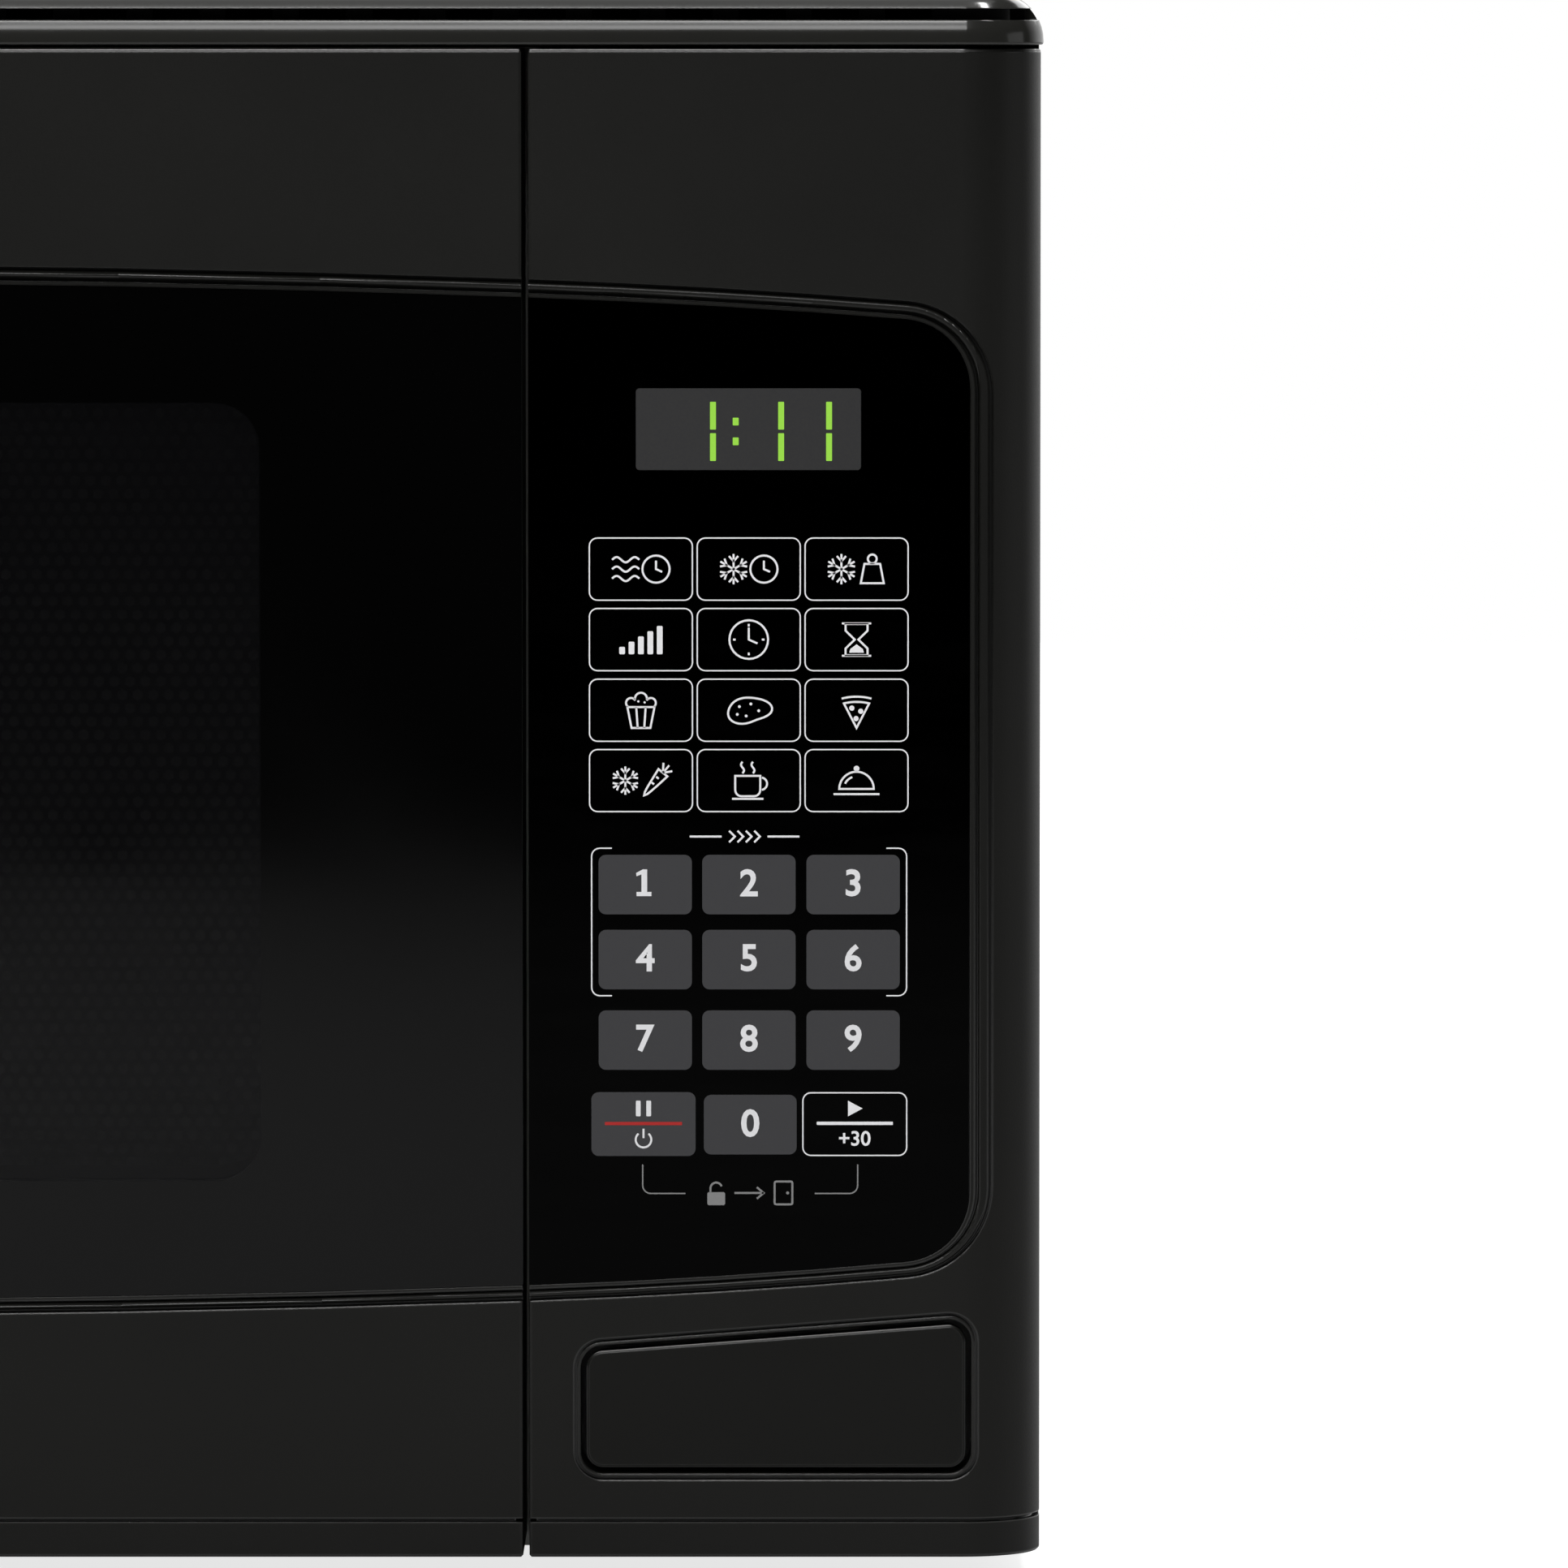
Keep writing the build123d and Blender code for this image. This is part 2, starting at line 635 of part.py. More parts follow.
def button_springs():
    start = button_front_y + button_skin + spring_seat_height + spring_wire + 0.05
    length = plate_front_y - spring_wire - 0.05 - start
    made = []
    for x in button_spring_places():
        made.append(
            coil(x, start, button_mid_z, toward_back, spring_radius, spring_wire, spring_turns, length)
        )
    return Compound(made)


lever_web = 3.0


def release_lever():
    """Bell crank: the button pushes its lower pad back and its rear finger lifts the latch slide."""
    x0, x1, y, z = lever_left_x, lever_right_x, lever_y, lever_z
    body = rod("x", x0, y, z, x1 - x0, lever_barrel_radius)
    web = slab(x0, x1, y - lever_web / 2, y + lever_web / 2, z - lever_arm - 5, z)
    web -= slab(x0 + 8, x1 - 8, y - lever_web, y + lever_web, z - lever_arm + 8, z - 9)
    web -= slab(x0 - 1, button_x - 16, y - lever_web, y + lever_web, z - lever_arm - 6, z - 22)
    body += web
    body += slab(x0, x0 + 5, y, y + lever_finger_reach, z - 1.5, z + 1.5)
    return body + rod("x", x0 - 3.2, y, z, x1 - x0 + 6.4, lever_pin_radius)


# ---------- door ----------
def door_plan(inset=0.0):
    """Plan outline: the free edge is square, the hinge edge is rounded at the front and the back."""
    x0, y0 = door_left_x + inset, face_y + inset
    outline = rectangle(x0, door_right_x - inset, y0, front_back_y)
    return rounded(outline, (x0, y0, corner_radius - inset), (x0, front_back_y, hinge_inset_x))


def door_slice(y0, y1):
    """The door's outer block between two depths."""
    whole = eased_front(plan_prism(door_plan(), front_bottom_z, front_top_z), door_right_x)
    return whole & slab(door_left_x, door_right_x, y0, y1, front_bottom_z, front_top_z)


def door_window(grow=0.0):
    """The clear part of the glass, from the front."""
    return rectangle(
        glass_left_x + door_window_margin_x - grow,
        door_right_x - door_window_margin_x + grow,
        glass_gap_bottom_z + door_window_margin_z - grow,
        glass_gap_top_z - door_window_margin_z + grow,
        door_window_corner + grow,
    )


def door_frame():
    z0, z1 = front_bottom_z + moulding_wall, front_top_z - moulding_wall
    body = door_slice(face_y, shell_y)
    inner_x = door_left_x + moulding_wall
    hollow = rectangle(inner_x, door_right_x - moulding_wall, skin_back_y, shell_y)
    hollow = rounded(hollow, (inner_x, skin_back_y, corner_radius - glass_seat_depth - front_skin))
    body -= plan_prism(hollow, z0, z1)
    body -= core_behind_skin(door_left_x + corner_radius, door_right_x - moulding_wall)
    body -= glass_seat_cut()
    body -= trim_line(door_plan(trim_line_depth))
    body += front_prism(door_window(moulding_wall), skin_back_y - 0.5, panel_front_y - screen_thickness)
    return body - front_prism(door_window(), seat_y - 1, panel_front_y)


def door_glass():
    door = slab(door_left_x, door_right_x, nose_y, front_back_y, front_bottom_z, front_top_z)
    return glass_prism(-glass_fit, glass_front_y, seat_y) & door


def window_screen():
    """The shield sheet behind the glass."""
    return front_prism(door_window(screen_overlap), panel_front_y - screen_thickness, panel_front_y)


def window_film():
    """Clear film that closes the window on the cavity's side."""
    return front_prism(door_window(door_panel_window_margin - 0.1), panel_front_y, panel_front_y + film_thickness)


def choke_outline(inset, radius):
    x0, x1 = choke_left_x + inset, choke_right_x - inset
    return rectangle(x0, x1, choke_bottom_z + inset, choke_top_z - inset, radius)


def choke_slits():
    """Slits that cut the choke's lip into teeth, drawn from the front."""
    wide = int((choke_right_x - choke_left_x - 24) / choke_tooth)
    tall = int((choke_top_z - choke_bottom_z - 24) / choke_tooth)
    mid_x, mid_z = (choke_left_x + choke_right_x) / 2, (choke_bottom_z + choke_top_z) / 2
    half_x, half_z = (choke_right_x - choke_left_x) / 2 - 5, (choke_top_z - choke_bottom_z) / 2 - 5
    across = [Pos(mid_x, mid_z + s * half_z) * p for s in (-1, 1) for p in GridLocations(choke_tooth, 1, wide, 1)]
    upright = [Pos(mid_x + s * half_x, mid_z) * p for s in (-1, 1) for p in GridLocations(1, choke_tooth, 1, tall)]
    slits = [place * Rectangle(choke_slit, 6) for place in across]
    return Sketch() + slits + [place * Rectangle(6, choke_slit) for place in upright]


def choke_panel():
    """Pressed steel door panel: a sheet with a window, and a choke folded forward round its edge."""
    t = door_panel_thickness
    lip_y = panel_back_y - choke_depth
    flat = choke_outline(0, 3.0) - door_window(door_panel_window_margin)
    body = front_prism(flat, panel_front_y, panel_back_y)
    body += front_prism(choke_outline(0, 3.0) - choke_outline(t, 3.0 - t), lip_y, panel_front_y)
    lip = choke_outline(0, 3.0) - choke_outline(7.0, 1.0) - choke_slits()
    return body + front_prism(lip, lip_y, lip_y + t)


def hinge_bosses():
    """The two posts that turn on the hinge pins, and their bores."""
    bore = hinge_pin_radius + running_clearance
    depth = hinge_pin_engagement + 1
    low, high = front_bottom_z, front_top_z - hinge_boss_height
    posts = [rod("z", hinge_x, hinge_y, z, hinge_boss_height, 7.0) for z in (low, high)]
    bores = [rod("z", hinge_x, hinge_y, z, depth, bore) for z in (low, front_top_z - depth)]
    return posts, bores


def choke_cover():
    """Plastic back of the door: it closes the door's sides and covers the choke."""
    z0, z1 = front_bottom_z + moulding_wall, front_top_z - moulding_wall
    body = door_slice(shell_y, front_back_y)
    inner_x = door_left_x + moulding_wall
    hollow = rectangle(inner_x, door_right_x - moulding_wall, shell_y - 1, panel_back_y)
    hollow = rounded(hollow, (inner_x, panel_back_y, hinge_inset_x - moulding_wall))
    body -= plan_prism(hollow, z0, z1)
    opening = rectangle(cavity_left_x + 8, cavity_right_x - 8, cavity_floor_z + 8, cavity_ceiling_z - 8, 6.0)
    body -= front_prism(opening, panel_back_y - 1, front_back_y + 1)
    half = latch_blade_thickness / 2 + 0.6
    for level in hook_levels:
        low, high = level - hook_half - 1.0, level + hook_half + latch_travel + 1.0
        body -= slab(blade_x - half, blade_x + half, panel_back_y - 1, front_back_y + 1, low, high)
    shelf_z = upper_hook_height + latch_blade_overrun + latch_spring_length + 0.1
    shelf_x = choke_right_x + part_gap
    body += slab(shelf_x, door_right_x - 1, shell_y + 1, front_back_y - 1, shelf_z, shelf_z + 2.5)
    posts, bores = hinge_bosses()
    return body + posts - bores


def latch_hooks():
    """The sliding blade in the door's free edge, and its two hooks that reach through the front plate."""
    x0, x1 = blade_x - latch_blade_thickness / 2, blade_x + latch_blade_thickness / 2
    y0, y1 = blade_y - 4.0, blade_y + 4.0
    low, high = lower_hook_height - latch_blade_overrun, upper_hook_height + latch_blade_overrun
    body = slab(x0, x1, y0, y1, low, high)
    for level in hook_levels:
        z0, z1 = level - hook_half, level + hook_half
        shank_z = z0 + latch_hook_barb
        body += slab(x0, x1, y1 - 1, hook_tip_y, shank_z, z1)
        points = [(hook_tip_y - 8, shank_z), (hook_tip_y - 8, z0), (hook_tip_y - 5, z0), (hook_tip_y, shank_z)]
        body += side_prism(make_face(Polyline(*points, close=True)), x0, x1)
    return body


def latch_spring():
    """Presses the blade down, between its top end and the shelf in the door's back."""
    wire = 0.4
    start = upper_hook_height + latch_blade_overrun + wire + 0.05
    return coil(blade_x, blade_y, start, Rot(0, 0, 0), 1.7, wire, 9, latch_spring_length - 2 * wire)


def lower_hinge():
    """Bracket under the base plate, with the pin that stands up into the door."""
    top = front_bottom_z - part_gap
    low = top - hinge_arm_thickness
    arm = slab(hinge_x - 7, hinge_x + 7, hinge_y - 7, plate_front_y, low, top)
    arm = fillet([e for e in arm.edges().filter_by(Axis.Z) if e.center().Y < hinge_y], 5.0)
    body = arm + slab(hinge_x - 7, hinge_x + 7, plate_front_y - 0.5, plate_back_y + 24, low, foot_height)
    body += rod("z", hinge_x, hinge_y, top - 0.5, hinge_pin_engagement + part_gap + 0.5, hinge_pin_radius)
    for y in lower_hinge_screws():
        body -= screw_hole("z", hinge_x, y, low)
    return body


def lower_hinge_screws():
    return (plate_back_y + 7.0, plate_back_y + 17.0)


def upper_hinge():
    """Bracket inside the vent grille, with the pin that hangs down into the door."""
    low = grille_bottom_z + part_gap
    x0, x1 = -half_width + grille_rim + part_gap, hinge_x + 7
    body = slab(x0, x1, hinge_y - 5, plate_front_y, low, low + hinge_arm_thickness)
    tab_y = plate_front_y - hinge_arm_thickness
    body += slab(x0, x1 + 14, tab_y, plate_front_y, low, oven_height - grille_lid - part_gap)
    pin_z = front_top_z - hinge_pin_engagement
    body += rod("z", hinge_x, hinge_y, pin_z, low - pin_z + 0.5, hinge_pin_radius)
    x, z = upper_hinge_screw()
    return body - screw_hole("y", x, tab_y, z)


def upper_hinge_screw():
    return hinge_x + 15.0, grille_bottom_z + 3.9


# ---------- body shell ----------
def front_plate():
    y0, y1 = plate_front_y, plate_back_y
    outline = rectangle(-cabinet_x, cabinet_x, foot_height, grille_bottom_z)
    lip_x = cabinet_x - front_plate_lip_inset
    outline += rectangle(-lip_x, lip_x, foot_height - front_plate_lip, foot_height + 1)
    tab_x = half_width - grille_rim - part_gap
    outline += rectangle(-tab_x, tab_x, grille_bottom_z - 1, oven_height - grille_lid)
    outline -= rectangle(cavity_left_x, cavity_right_x, cavity_floor_z, cavity_ceiling_z)
    outline -= rectangle(column_left_x + 6, column_right_x - 16, lever_z - 12, cavity_ceiling_z, 3.0)
    for level in hook_levels:
        low, high = level - hook_half - 1.5, level + hook_half + latch_travel + 1.5
        outline -= rectangle(blade_x - 3.5, blade_x + 4.5, low, high)
    vent_z = (cavity_ceiling_z + choke_top_z) / 2 + 9
    outline -= Pos(cavity_mid_x, vent_z) * slot_grid(18, 1, 17, 1, 3, 10)
    for x, z in column_boss_places():
        outline -= Pos(x, z) * Circle(screw_radius + 0.1)
    outline -= Pos(*upper_hinge_screw()) * Circle(screw_radius + 0.1)
    return front_prism(outline, y0, y1)


def cabinet_outline(inset, low):
    """The wrapped cover from the front: rounded at its two top corners."""
    x, z, r = cabinet_x - inset, cabinet_top_z - inset, cabinet_corner - inset
    return rounded(rectangle(-x, x, low, z), (-x, z, r), (x, z, r))


def rear_screw_places():
    edge = rear_flange_width / 2
    x, top = cabinet_x - edge, cabinet_top_z - edge
    low, high = foot_height + rear_screw_rise, cabinet_top_z - rear_screw_drop
    return [(-x, low), (-x, high), (x, low), (x, high), (137 - half_width, top), (half_width - 107, top)]


def outer_cabinet():
    """The steel cover in one sheet: left side, top, right side and the flange round its back."""
    low = foot_height
    body = front_prism(cabinet_outline(0, low) - cabinet_outline(sheet, low), plate_back_y, shell_back_y)
    x, z = cabinet_x - rear_flange_width, cabinet_top_z - rear_flange_width
    flange = cabinet_outline(0, low) - rectangle(-x, x, low - 1, z, 2.0)
    flange -= rectangle(-x, x, low - 1, low + 20)
    for sx, sz in rear_screw_places():
        flange -= Pos(sx, sz) * Circle(screw_radius + 0.1)
    body += front_prism(flange, shell_back_y - sheet, shell_back_y)
    high = Pos(cavity_back_y - 72, fan_z) * slot_grid(11, 3, 8, 30, 3, 22)
    front_low = Pos(plate_back_y + 78, foot_height + 37) * slot_grid(10, 2, 8, 24, 3, 17)
    body -= side_prism(high + front_low, cabinet_inner_x - 1, cabinet_x + 1)
    left = Pos(cavity_mid_y + 70, cavity_ceiling_z - 24) * slot_grid(12, 2, 8, 26, 3, 19)
    return body - side_prism(left, -cabinet_x - 1, -cabinet_inner_x + 1)


def foot_places():
    xs = (-half_width + foot_inset_x, half_width - foot_inset_x)
    return [(x, y) for x in xs for y in (plate_front_y + foot_inset_y, rear_panel_y - foot_inset_y)]


def base_plate():
    outline = rectangle(-cabinet_inner_x, cabinet_inner_x, plate_back_y, rear_panel_y - sheet)
    outline -= Pos(bay_mid_x, rear_panel_y - 37.2) * slot_grid(9, 1, 9, 1, 4, 26)
    outline -= Pos(cavity_mid_x - 60, cavity_mid_y + 60) * slot_grid(12, 2, 9, 34, 4, 26)
    for x, y in foot_places():
        outline -= Pos(x, y) * Circle(3.1)
    for y in lower_hinge_screws():
        outline -= Pos(hinge_x, y) * Circle(screw_radius + 0.1)
    return plan_prism(outline, foot_height, base_top_z)


def feet():
    made = []
    for x, y in foot_places():
        pad = Cone(foot_radius - 1.5, foot_radius, foot_height, align=(Align.CENTER, Align.CENTER, Align.MIN))
        pad = fillet(pad.edges().group_by(Axis.Z)[0], 1.0)
        made.append(Pos(x, y, 0) * (pad + rod("z", 0, 0, foot_height - 0.5, sheet + 3, 3.0)))
    return Compound(made)


def rear_panel():
    x = cabinet_inner_x
    outline = cabinet_outline(sheet, foot_height)
    rings = [(11, 8), (20, 14), (29, 20), (38, 26)]
    holes = [Pos(bay_mid_x, fan_z) * p * Circle(2.6) for r, n in rings for p in PolarLocations(r, n)]
    outline -= Sketch() + holes
    outline -= Pos(cavity_mid_x - 50, cavity_ceiling_z - 24) * slot_grid(16, 2, 9, 30, 4, 22)
    gland_x, gland_z = gland_place()
    outline -= Pos(gland_x, gland_z) * Circle(gland_radius)
    for sx, sz in rear_screw_places():
        outline -= Pos(sx, sz) * Circle(screw_radius + 0.1)
    return front_prism(outline, rear_panel_y - sheet, rear_panel_y)


def gland_place():
    return cabinet_inner_x - 30.0, foot_height + 33.0


def cord_gland():
    """Snap-in bush where the mains lead comes out."""
    x, z = gland_place()
    body = rod("y", x, rear_panel_y, z, 3.5, gland_radius + 2.5)
    body = fillet(body.edges().group_by(Axis.Y)[-1], 1.2)
    body += rod("y", x, rear_panel_y - 5, z, 6, gland_radius - 0.1)
    return body - rod("y", x, rear_panel_y - 6, z, 12, 3.8)


def rear_spacers():
    """Two bumpers that keep the vents away from a wall."""
    made = []
    z = cabinet_top_z - rear_spacer_drop
    for x in (-half_width + rear_spacer_inset, half_width - rear_spacer_inset):
        block = front_prism(Pos(x, z) * SlotOverall(30, 14, rotation=90), rear_panel_y, back_y)
        made.append(fillet(block.edges().group_by(Axis.Y)[-1], 2.0))
    return Compound(made)


def rear_screws():
    return Compound([screw(x, shell_back_y, z, toward_back) for x, z in rear_screw_places()])


def column_screws():
    return Compound([screw(x, plate_back_y, z, toward_back) for x, z in column_boss_places()])


def hinge_screws():
    under_z = front_bottom_z - part_gap - hinge_arm_thickness
    made = [screw(hinge_x, y, under_z, toward_floor) for y in lower_hinge_screws()]
    x, z = upper_hinge_screw()
    made.append(screw(x, plate_front_y - hinge_arm_thickness, z, toward_front, head_radius=3.2))
    return Compound(made)


# ---------- cavity ----------
def cavity_plate(x0, x1, z0, z1):
    return slab(x0, x1, plate_back_y, cavity_back_y, z0, z1)


def cavity_floor():
    body = cavity_plate(cavity_left_x, cavity_right_x, cavity_floor_z - sheet, cavity_floor_z)
    return body - on_axis(rod("z", 0, 0, cavity_floor_z - 2, 4, 6.5))


def cavity_ceiling():
    return cavity_plate(cavity_left_x, cavity_right_x, cavity_ceiling_z, cavity_ceiling_z + sheet)


def cavity_left_wall():
    z0, z1 = cavity_floor_z - sheet, cavity_ceiling_z + sheet
    holes = Pos(cavity_mid_y + 70, cavity_ceiling_z - 24) * hole_grid(14, 4, 6, 1.6)
    body = cavity_plate(cavity_left_x - sheet, cavity_left_x, z0, z1)
    return body - side_prism(holes, cavity_left_x - 2, cavity_left_x + 1)


def cavity_right_wall():
    z0, z1 = cavity_floor_z - sheet, cavity_ceiling_z + sheet
    half_y, half_z = port_width / 2, port_height / 2
    cuts = rectangle(port_y - half_y, port_y + half_y, port_z - half_z, port_z + half_z)
    cuts += Pos(lamp_y, lamp_z) * hole_grid(7, 5, 6, 1.6)
    cuts += Pos(port_y + 95, port_z) * hole_grid(10, 5, 6, 1.6)
    return cavity_plate(cavity_right_x, bay_left_x, z0, z1) - side_prism(cuts, cavity_right_x - 1, bay_left_x + 1)


def cavity_rear_wall():
    z0, z1 = cavity_floor_z - sheet, cavity_ceiling_z + sheet
    return slab(cavity_left_x - sheet, bay_left_x, cavity_back_y, cavity_back_y + sheet, z0, z1)


def mica_cover():
    """The thin plate over the waveguide's port, on the cavity's side."""
    half_y, half_z = port_width / 2 + mica_margin, port_height / 2 + mica_margin
    plate = rectangle(port_y - half_y, port_y + half_y, port_z - half_z, port_z + half_z, 4.0)
    return side_prism(plate, cavity_right_x - mica_thickness, cavity_right_x)


# ---------- turntable ----------
def turntable_tray():
    """Glass plate with a raised rim, and three lugs under it that stand between the hub's lobes."""
    flat = tray_radius - tray_rim_width
    top_z, rim_z = tray_bottom_z + tray_thickness, tray_bottom_z + tray_rim_height
    points = [
        (0, tray_bottom_z),
        (flat, tray_bottom_z),
        (tray_radius, rim_z - 1.5),
        (tray_radius, rim_z),
        (tray_radius - tray_wall, rim_z),
        (flat - tray_wall + 2, top_z),
        (0, top_z),
    ]
    body = revolve(make_face(Plane.XZ * Polyline(*points, close=True)), Axis.Z)
    reach = hub_radius + tray_lug_radius + 0.6
    for angle in (60, 180, 300):
        body += Rot(0, 0, angle) * rod("z", reach, 0, tray_bottom_z - 5, 6, tray_lug_radius)
    return on_axis(body)


def drive_hub():
    """Three-lobed coupler on the motor's shaft."""
    z0, z1 = cavity_floor_z + 2.0, tray_bottom_z
    body = rod("z", 0, 0, z0, z1 - z0, hub_radius)
    for angle in (0, 120, 240):
        half = lobe_width / 2
        body += Rot(0, 0, angle) * slab(0, lobe_reach, -half, half, z1 - lobe_height, z1)
    return on_axis(body - rod("z", 0, 0, z0 - 1, shaft_top_z - z0 + 1, motor_shaft_radius + running_clearance))


def motor_shaft():
    start = motor_bottom_z + 4.0
    return on_axis(rod("z", 0, 0, start, shaft_top_z - start, motor_shaft_radius))


def turntable_motor():
    z0, z1 = motor_bottom_z, motor_top_z
    body = fillet(rod("z", 0, 0, z0, motor_height, motor_radius).edges(), 1.0)
    ears = Pos(0, 0) * SlotOverall(2 * motor_radius + 18, 10)
    for x in (-motor_radius - 4, motor_radius + 4):
        ears -= Pos(x, 0) * Circle(1.8)
    body += plan_prism(ears, z1 - 1.2, z1)
    body += slab(-9, 9, motor_radius - 4, motor_radius + 9, z0 + 2, z0 + 11)
    return on_axis(body - rod("z", 0, 0, z0 + 3.5, motor_height, motor_shaft_radius + running_clearance), 45)


def roller_angles():
    return [90 + 360 * k / roller_count for k in range(roller_count)]


def roller_ring():
    z0 = wheel_z - ring_height / 2
    band = Circle(ring_radius + ring_width / 2) - Circle(ring_radius - ring_width / 2)
    body = plan_prism(band, z0, z0 + ring_height)
    start = ring_radius + ring_width / 2 - 1
    for angle in roller_angles():
        axle = rod("x", start, 0, wheel_z, 1 + part_gap + roller_width + 2.0, roller_axle_radius)
        body += Rot(0, 0, angle) * axle
    return on_axis(body)


def roller(angle):
    wheel = chamfer(rod("x", wheel_start, 0, wheel_z, roller_width, roller_radius).edges(), 0.8)
    bore = roller_axle_radius + running_clearance
    return on_axis(wheel - rod("x", wheel_start - 1, 0, wheel_z, roller_width + 2, bore), angle)


# ---------- microwave source and electrics ----------
def waveguide():
    """Sheet duct from the magnetron's antenna to the port in the cavity's wall."""
    x0, x1 = bay_left_x, guide_outer_x
    y0, y1 = port_y - port_width / 2 - 1, port_y + port_width / 2 + 1
    z0, z1 = antenna_z - port_height / 2 - 18, port_z + port_height / 2 + 1
    body = slab(x0, x0 + 1, y0 - 8, y1 + 8, z0 - 8, z1 + 8) + slab(x0, x1, y0, y1, z0, z1)
    body -= slab(x0 - 1, x1 - 1, y0 + 1, y1 - 1, z0 + 1, z1 - 1)
    return body - rod("x", x1 - 3, port_y, antenna_z, 5, antenna_radius + 3)


def magnetron():
    """Yoke, ring magnets, finned anode, antenna dome and filter box."""
    x0, x1, y, z = guide_outer_x, guide_outer_x + magnetron_length, port_y, antenna_z
    half_y, half_z = magnetron_width / 2, magnetron_height / 2
    body = slab(x0, x1, y - half_y, y + half_y, z - half_z, z + half_z)
    body -= slab(x0 + 1.6, x1 - 1.6, y - half_y + 1.6, y + half_y - 1.6, z - half_z - 1, z + half_z + 1)
    body += rod("x", x0 + 1, y, z, magnetron_length - 2, 19.0)
    body += rod("x", x0 + 1, y, z, 12, 27.0)
    body += rod("x", x1 - 13, y, z, 12, 27.0)
    for k in range(6):
        x = x0 + 16.5 + 4.2 * k
        body += slab(x, x + 0.8, y - half_y + 1, y + half_y - 1, z - half_z + 3, z + half_z - 3)
    body += rod("x", x0 - 24, y, z, 25, antenna_radius)
    return body + slab(x1, x1 + 24, y - 32, y + 32, z - 26, z + 26)


def transformer():
    """High-voltage transformer: laminated core, two windings and a base flange."""
    x, y, z0 = bay_mid_x + 6, transformer_y, base_top_z
    core = slab(x - 42, x + 42, y - 30, y + 30, z0, z0 + 72)
    for side in (-1, 1):
        near, far = sorted((x + side * 12, x + side * 27))
        core -= slab(near, far, y - 40, y + 40, z0 + 14, z0 + 58)
    core += slab(x - 50, x + 50, y - 34, y + 34, z0, z0 + 2.5)
    for low, high, grow in ((15, 33, 12.0), (36, 57, 14.0)):
        outer = rectangle(x - 12 - grow, x + 12 + grow, y - 30 - grow, y + 30 + grow, 8.0)
        core += plan_prism(outer - rectangle(x - 12, x + 12, y - 30, y + 30), z0 + low, z0 + high)
    return core


capacitor_x = bay_left_x + 30.0
capacitor_y = board_front_y + 54.0


def hv_capacitor():
    can = Pos(capacitor_x, capacitor_y) * SlotOverall(86, 34, rotation=90)
    body = fillet(plan_prism(can, base_top_z, base_top_z + 54).edges().group_by(Axis.Z)[-1], 1.5)
    for side in (-14, 14):
        y = capacitor_y + side
        body += slab(capacitor_x - 3, capacitor_x + 3, y - 0.5, y + 0.5, base_top_z + 53, base_top_z + 64)
    return body


def capacitor_strap():
    z0 = base_top_z
    band = SlotOverall(87.6, 35.6, rotation=90) - SlotOverall(86, 34, rotation=90)
    body = plan_prism(Pos(capacitor_x, capacitor_y) * band, z0 + 22, z0 + 34)
    x = capacitor_x + 17.0
    body += slab(x, x + 1.2, capacitor_y - 8, capacitor_y + 8, z0, z0 + 30)
    return body + slab(x, x + 13, capacitor_y - 8, capacitor_y + 8, z0, z0 + 1.2)


def hv_diode():
    x, y, z = bay_mid_x + 24, board_front_y + 112.0, base_top_z
    body = rod("x", x - 11, y, z + 12, 22, 4.0) + rod("x", x - 24, y, z + 12, 14, 1.0)
    return body + slab(x + 9, x + 10.5, y - 5, y + 5, z, z + 14)


def filter_board():
    x0, x1, y0, y1 = cabinet_inner_x - 58, cabinet_inner_x - 8, board_front_y, board_front_y + 90
    z0 = base_top_z + 7.0
    top = z0 + 1.6
    parts = [
        rod("z", x0 + 16, y0 + 22, top, 16, 12.0) - rod("z", x0 + 16, y0 + 22, top, 17, 5.0),
        slab(x0 + 30, x0 + 44, y0 + 12, y0 + 34, top, top + 16),
        rod("y", x0 + 12, y0 + 44, top + 5.6, 30, 3.4),
        slab(x0 + 8, x0 + 16, y0 + 44, y0 + 47, top, top + 8),
        slab(x0 + 8, x0 + 16, y0 + 71, y0 + 74, top, top + 8),
        slab(x0 + 28, x0 + 44, y0 + 48, y0 + 60, top, top + 13),
    ]
    legs = [rod("z", x, y, base_top_z, 7.2, 2.5) for x in (x0 + 5, x1 - 5) for y in (y0 + 5, y1 - 5)]
    return plan_prism(rectangle(x0, x1, y0, y1, 2.0), z0, top) + parts + legs


def fan_shroud():
    """Moulded wall across the bay, with the ring that the fan turns in and two motor posts."""
    x, z = bay_mid_x, fan_z
    y0, y1 = shroud_y, shroud_y + 2.5
    hole = Pos(x, z) * Circle(fan_radius + fan_tip_gap)
    body = front_prism(rectangle(bay_left_x, cabinet_inner_x, z - 62, z + 62) - hole, y0, y1)
    body += front_prism(Pos(x, z) * Circle(fan_radius + fan_tip_gap + 2) - hole, y0 - 18, y1)
    for side in (-50, 50):
        body += rod("y", x + side, y1 - 0.5, z, 10.5, 4.0)
    return body


def fan_motor():
    """Shaded-pole motor on a strap across the shroud's posts."""
    x, z, y0 = bay_mid_x, fan_z, shroud_y + 12.5
    body = slab(x - 55, x + 55, y0, y0 + 1.5, z - 6, z + 6)
    body += slab(x - 22, x + 22, y0 + 1, y0 + 12, z - 26, z + 20)
    body += slab(x - 12, x + 12, y0 + 1.5, y0 + 15, z - 25, z - 10)
    return body - rod("y", x, y0 - 2, z, 11, fan_shaft_radius + running_clearance)


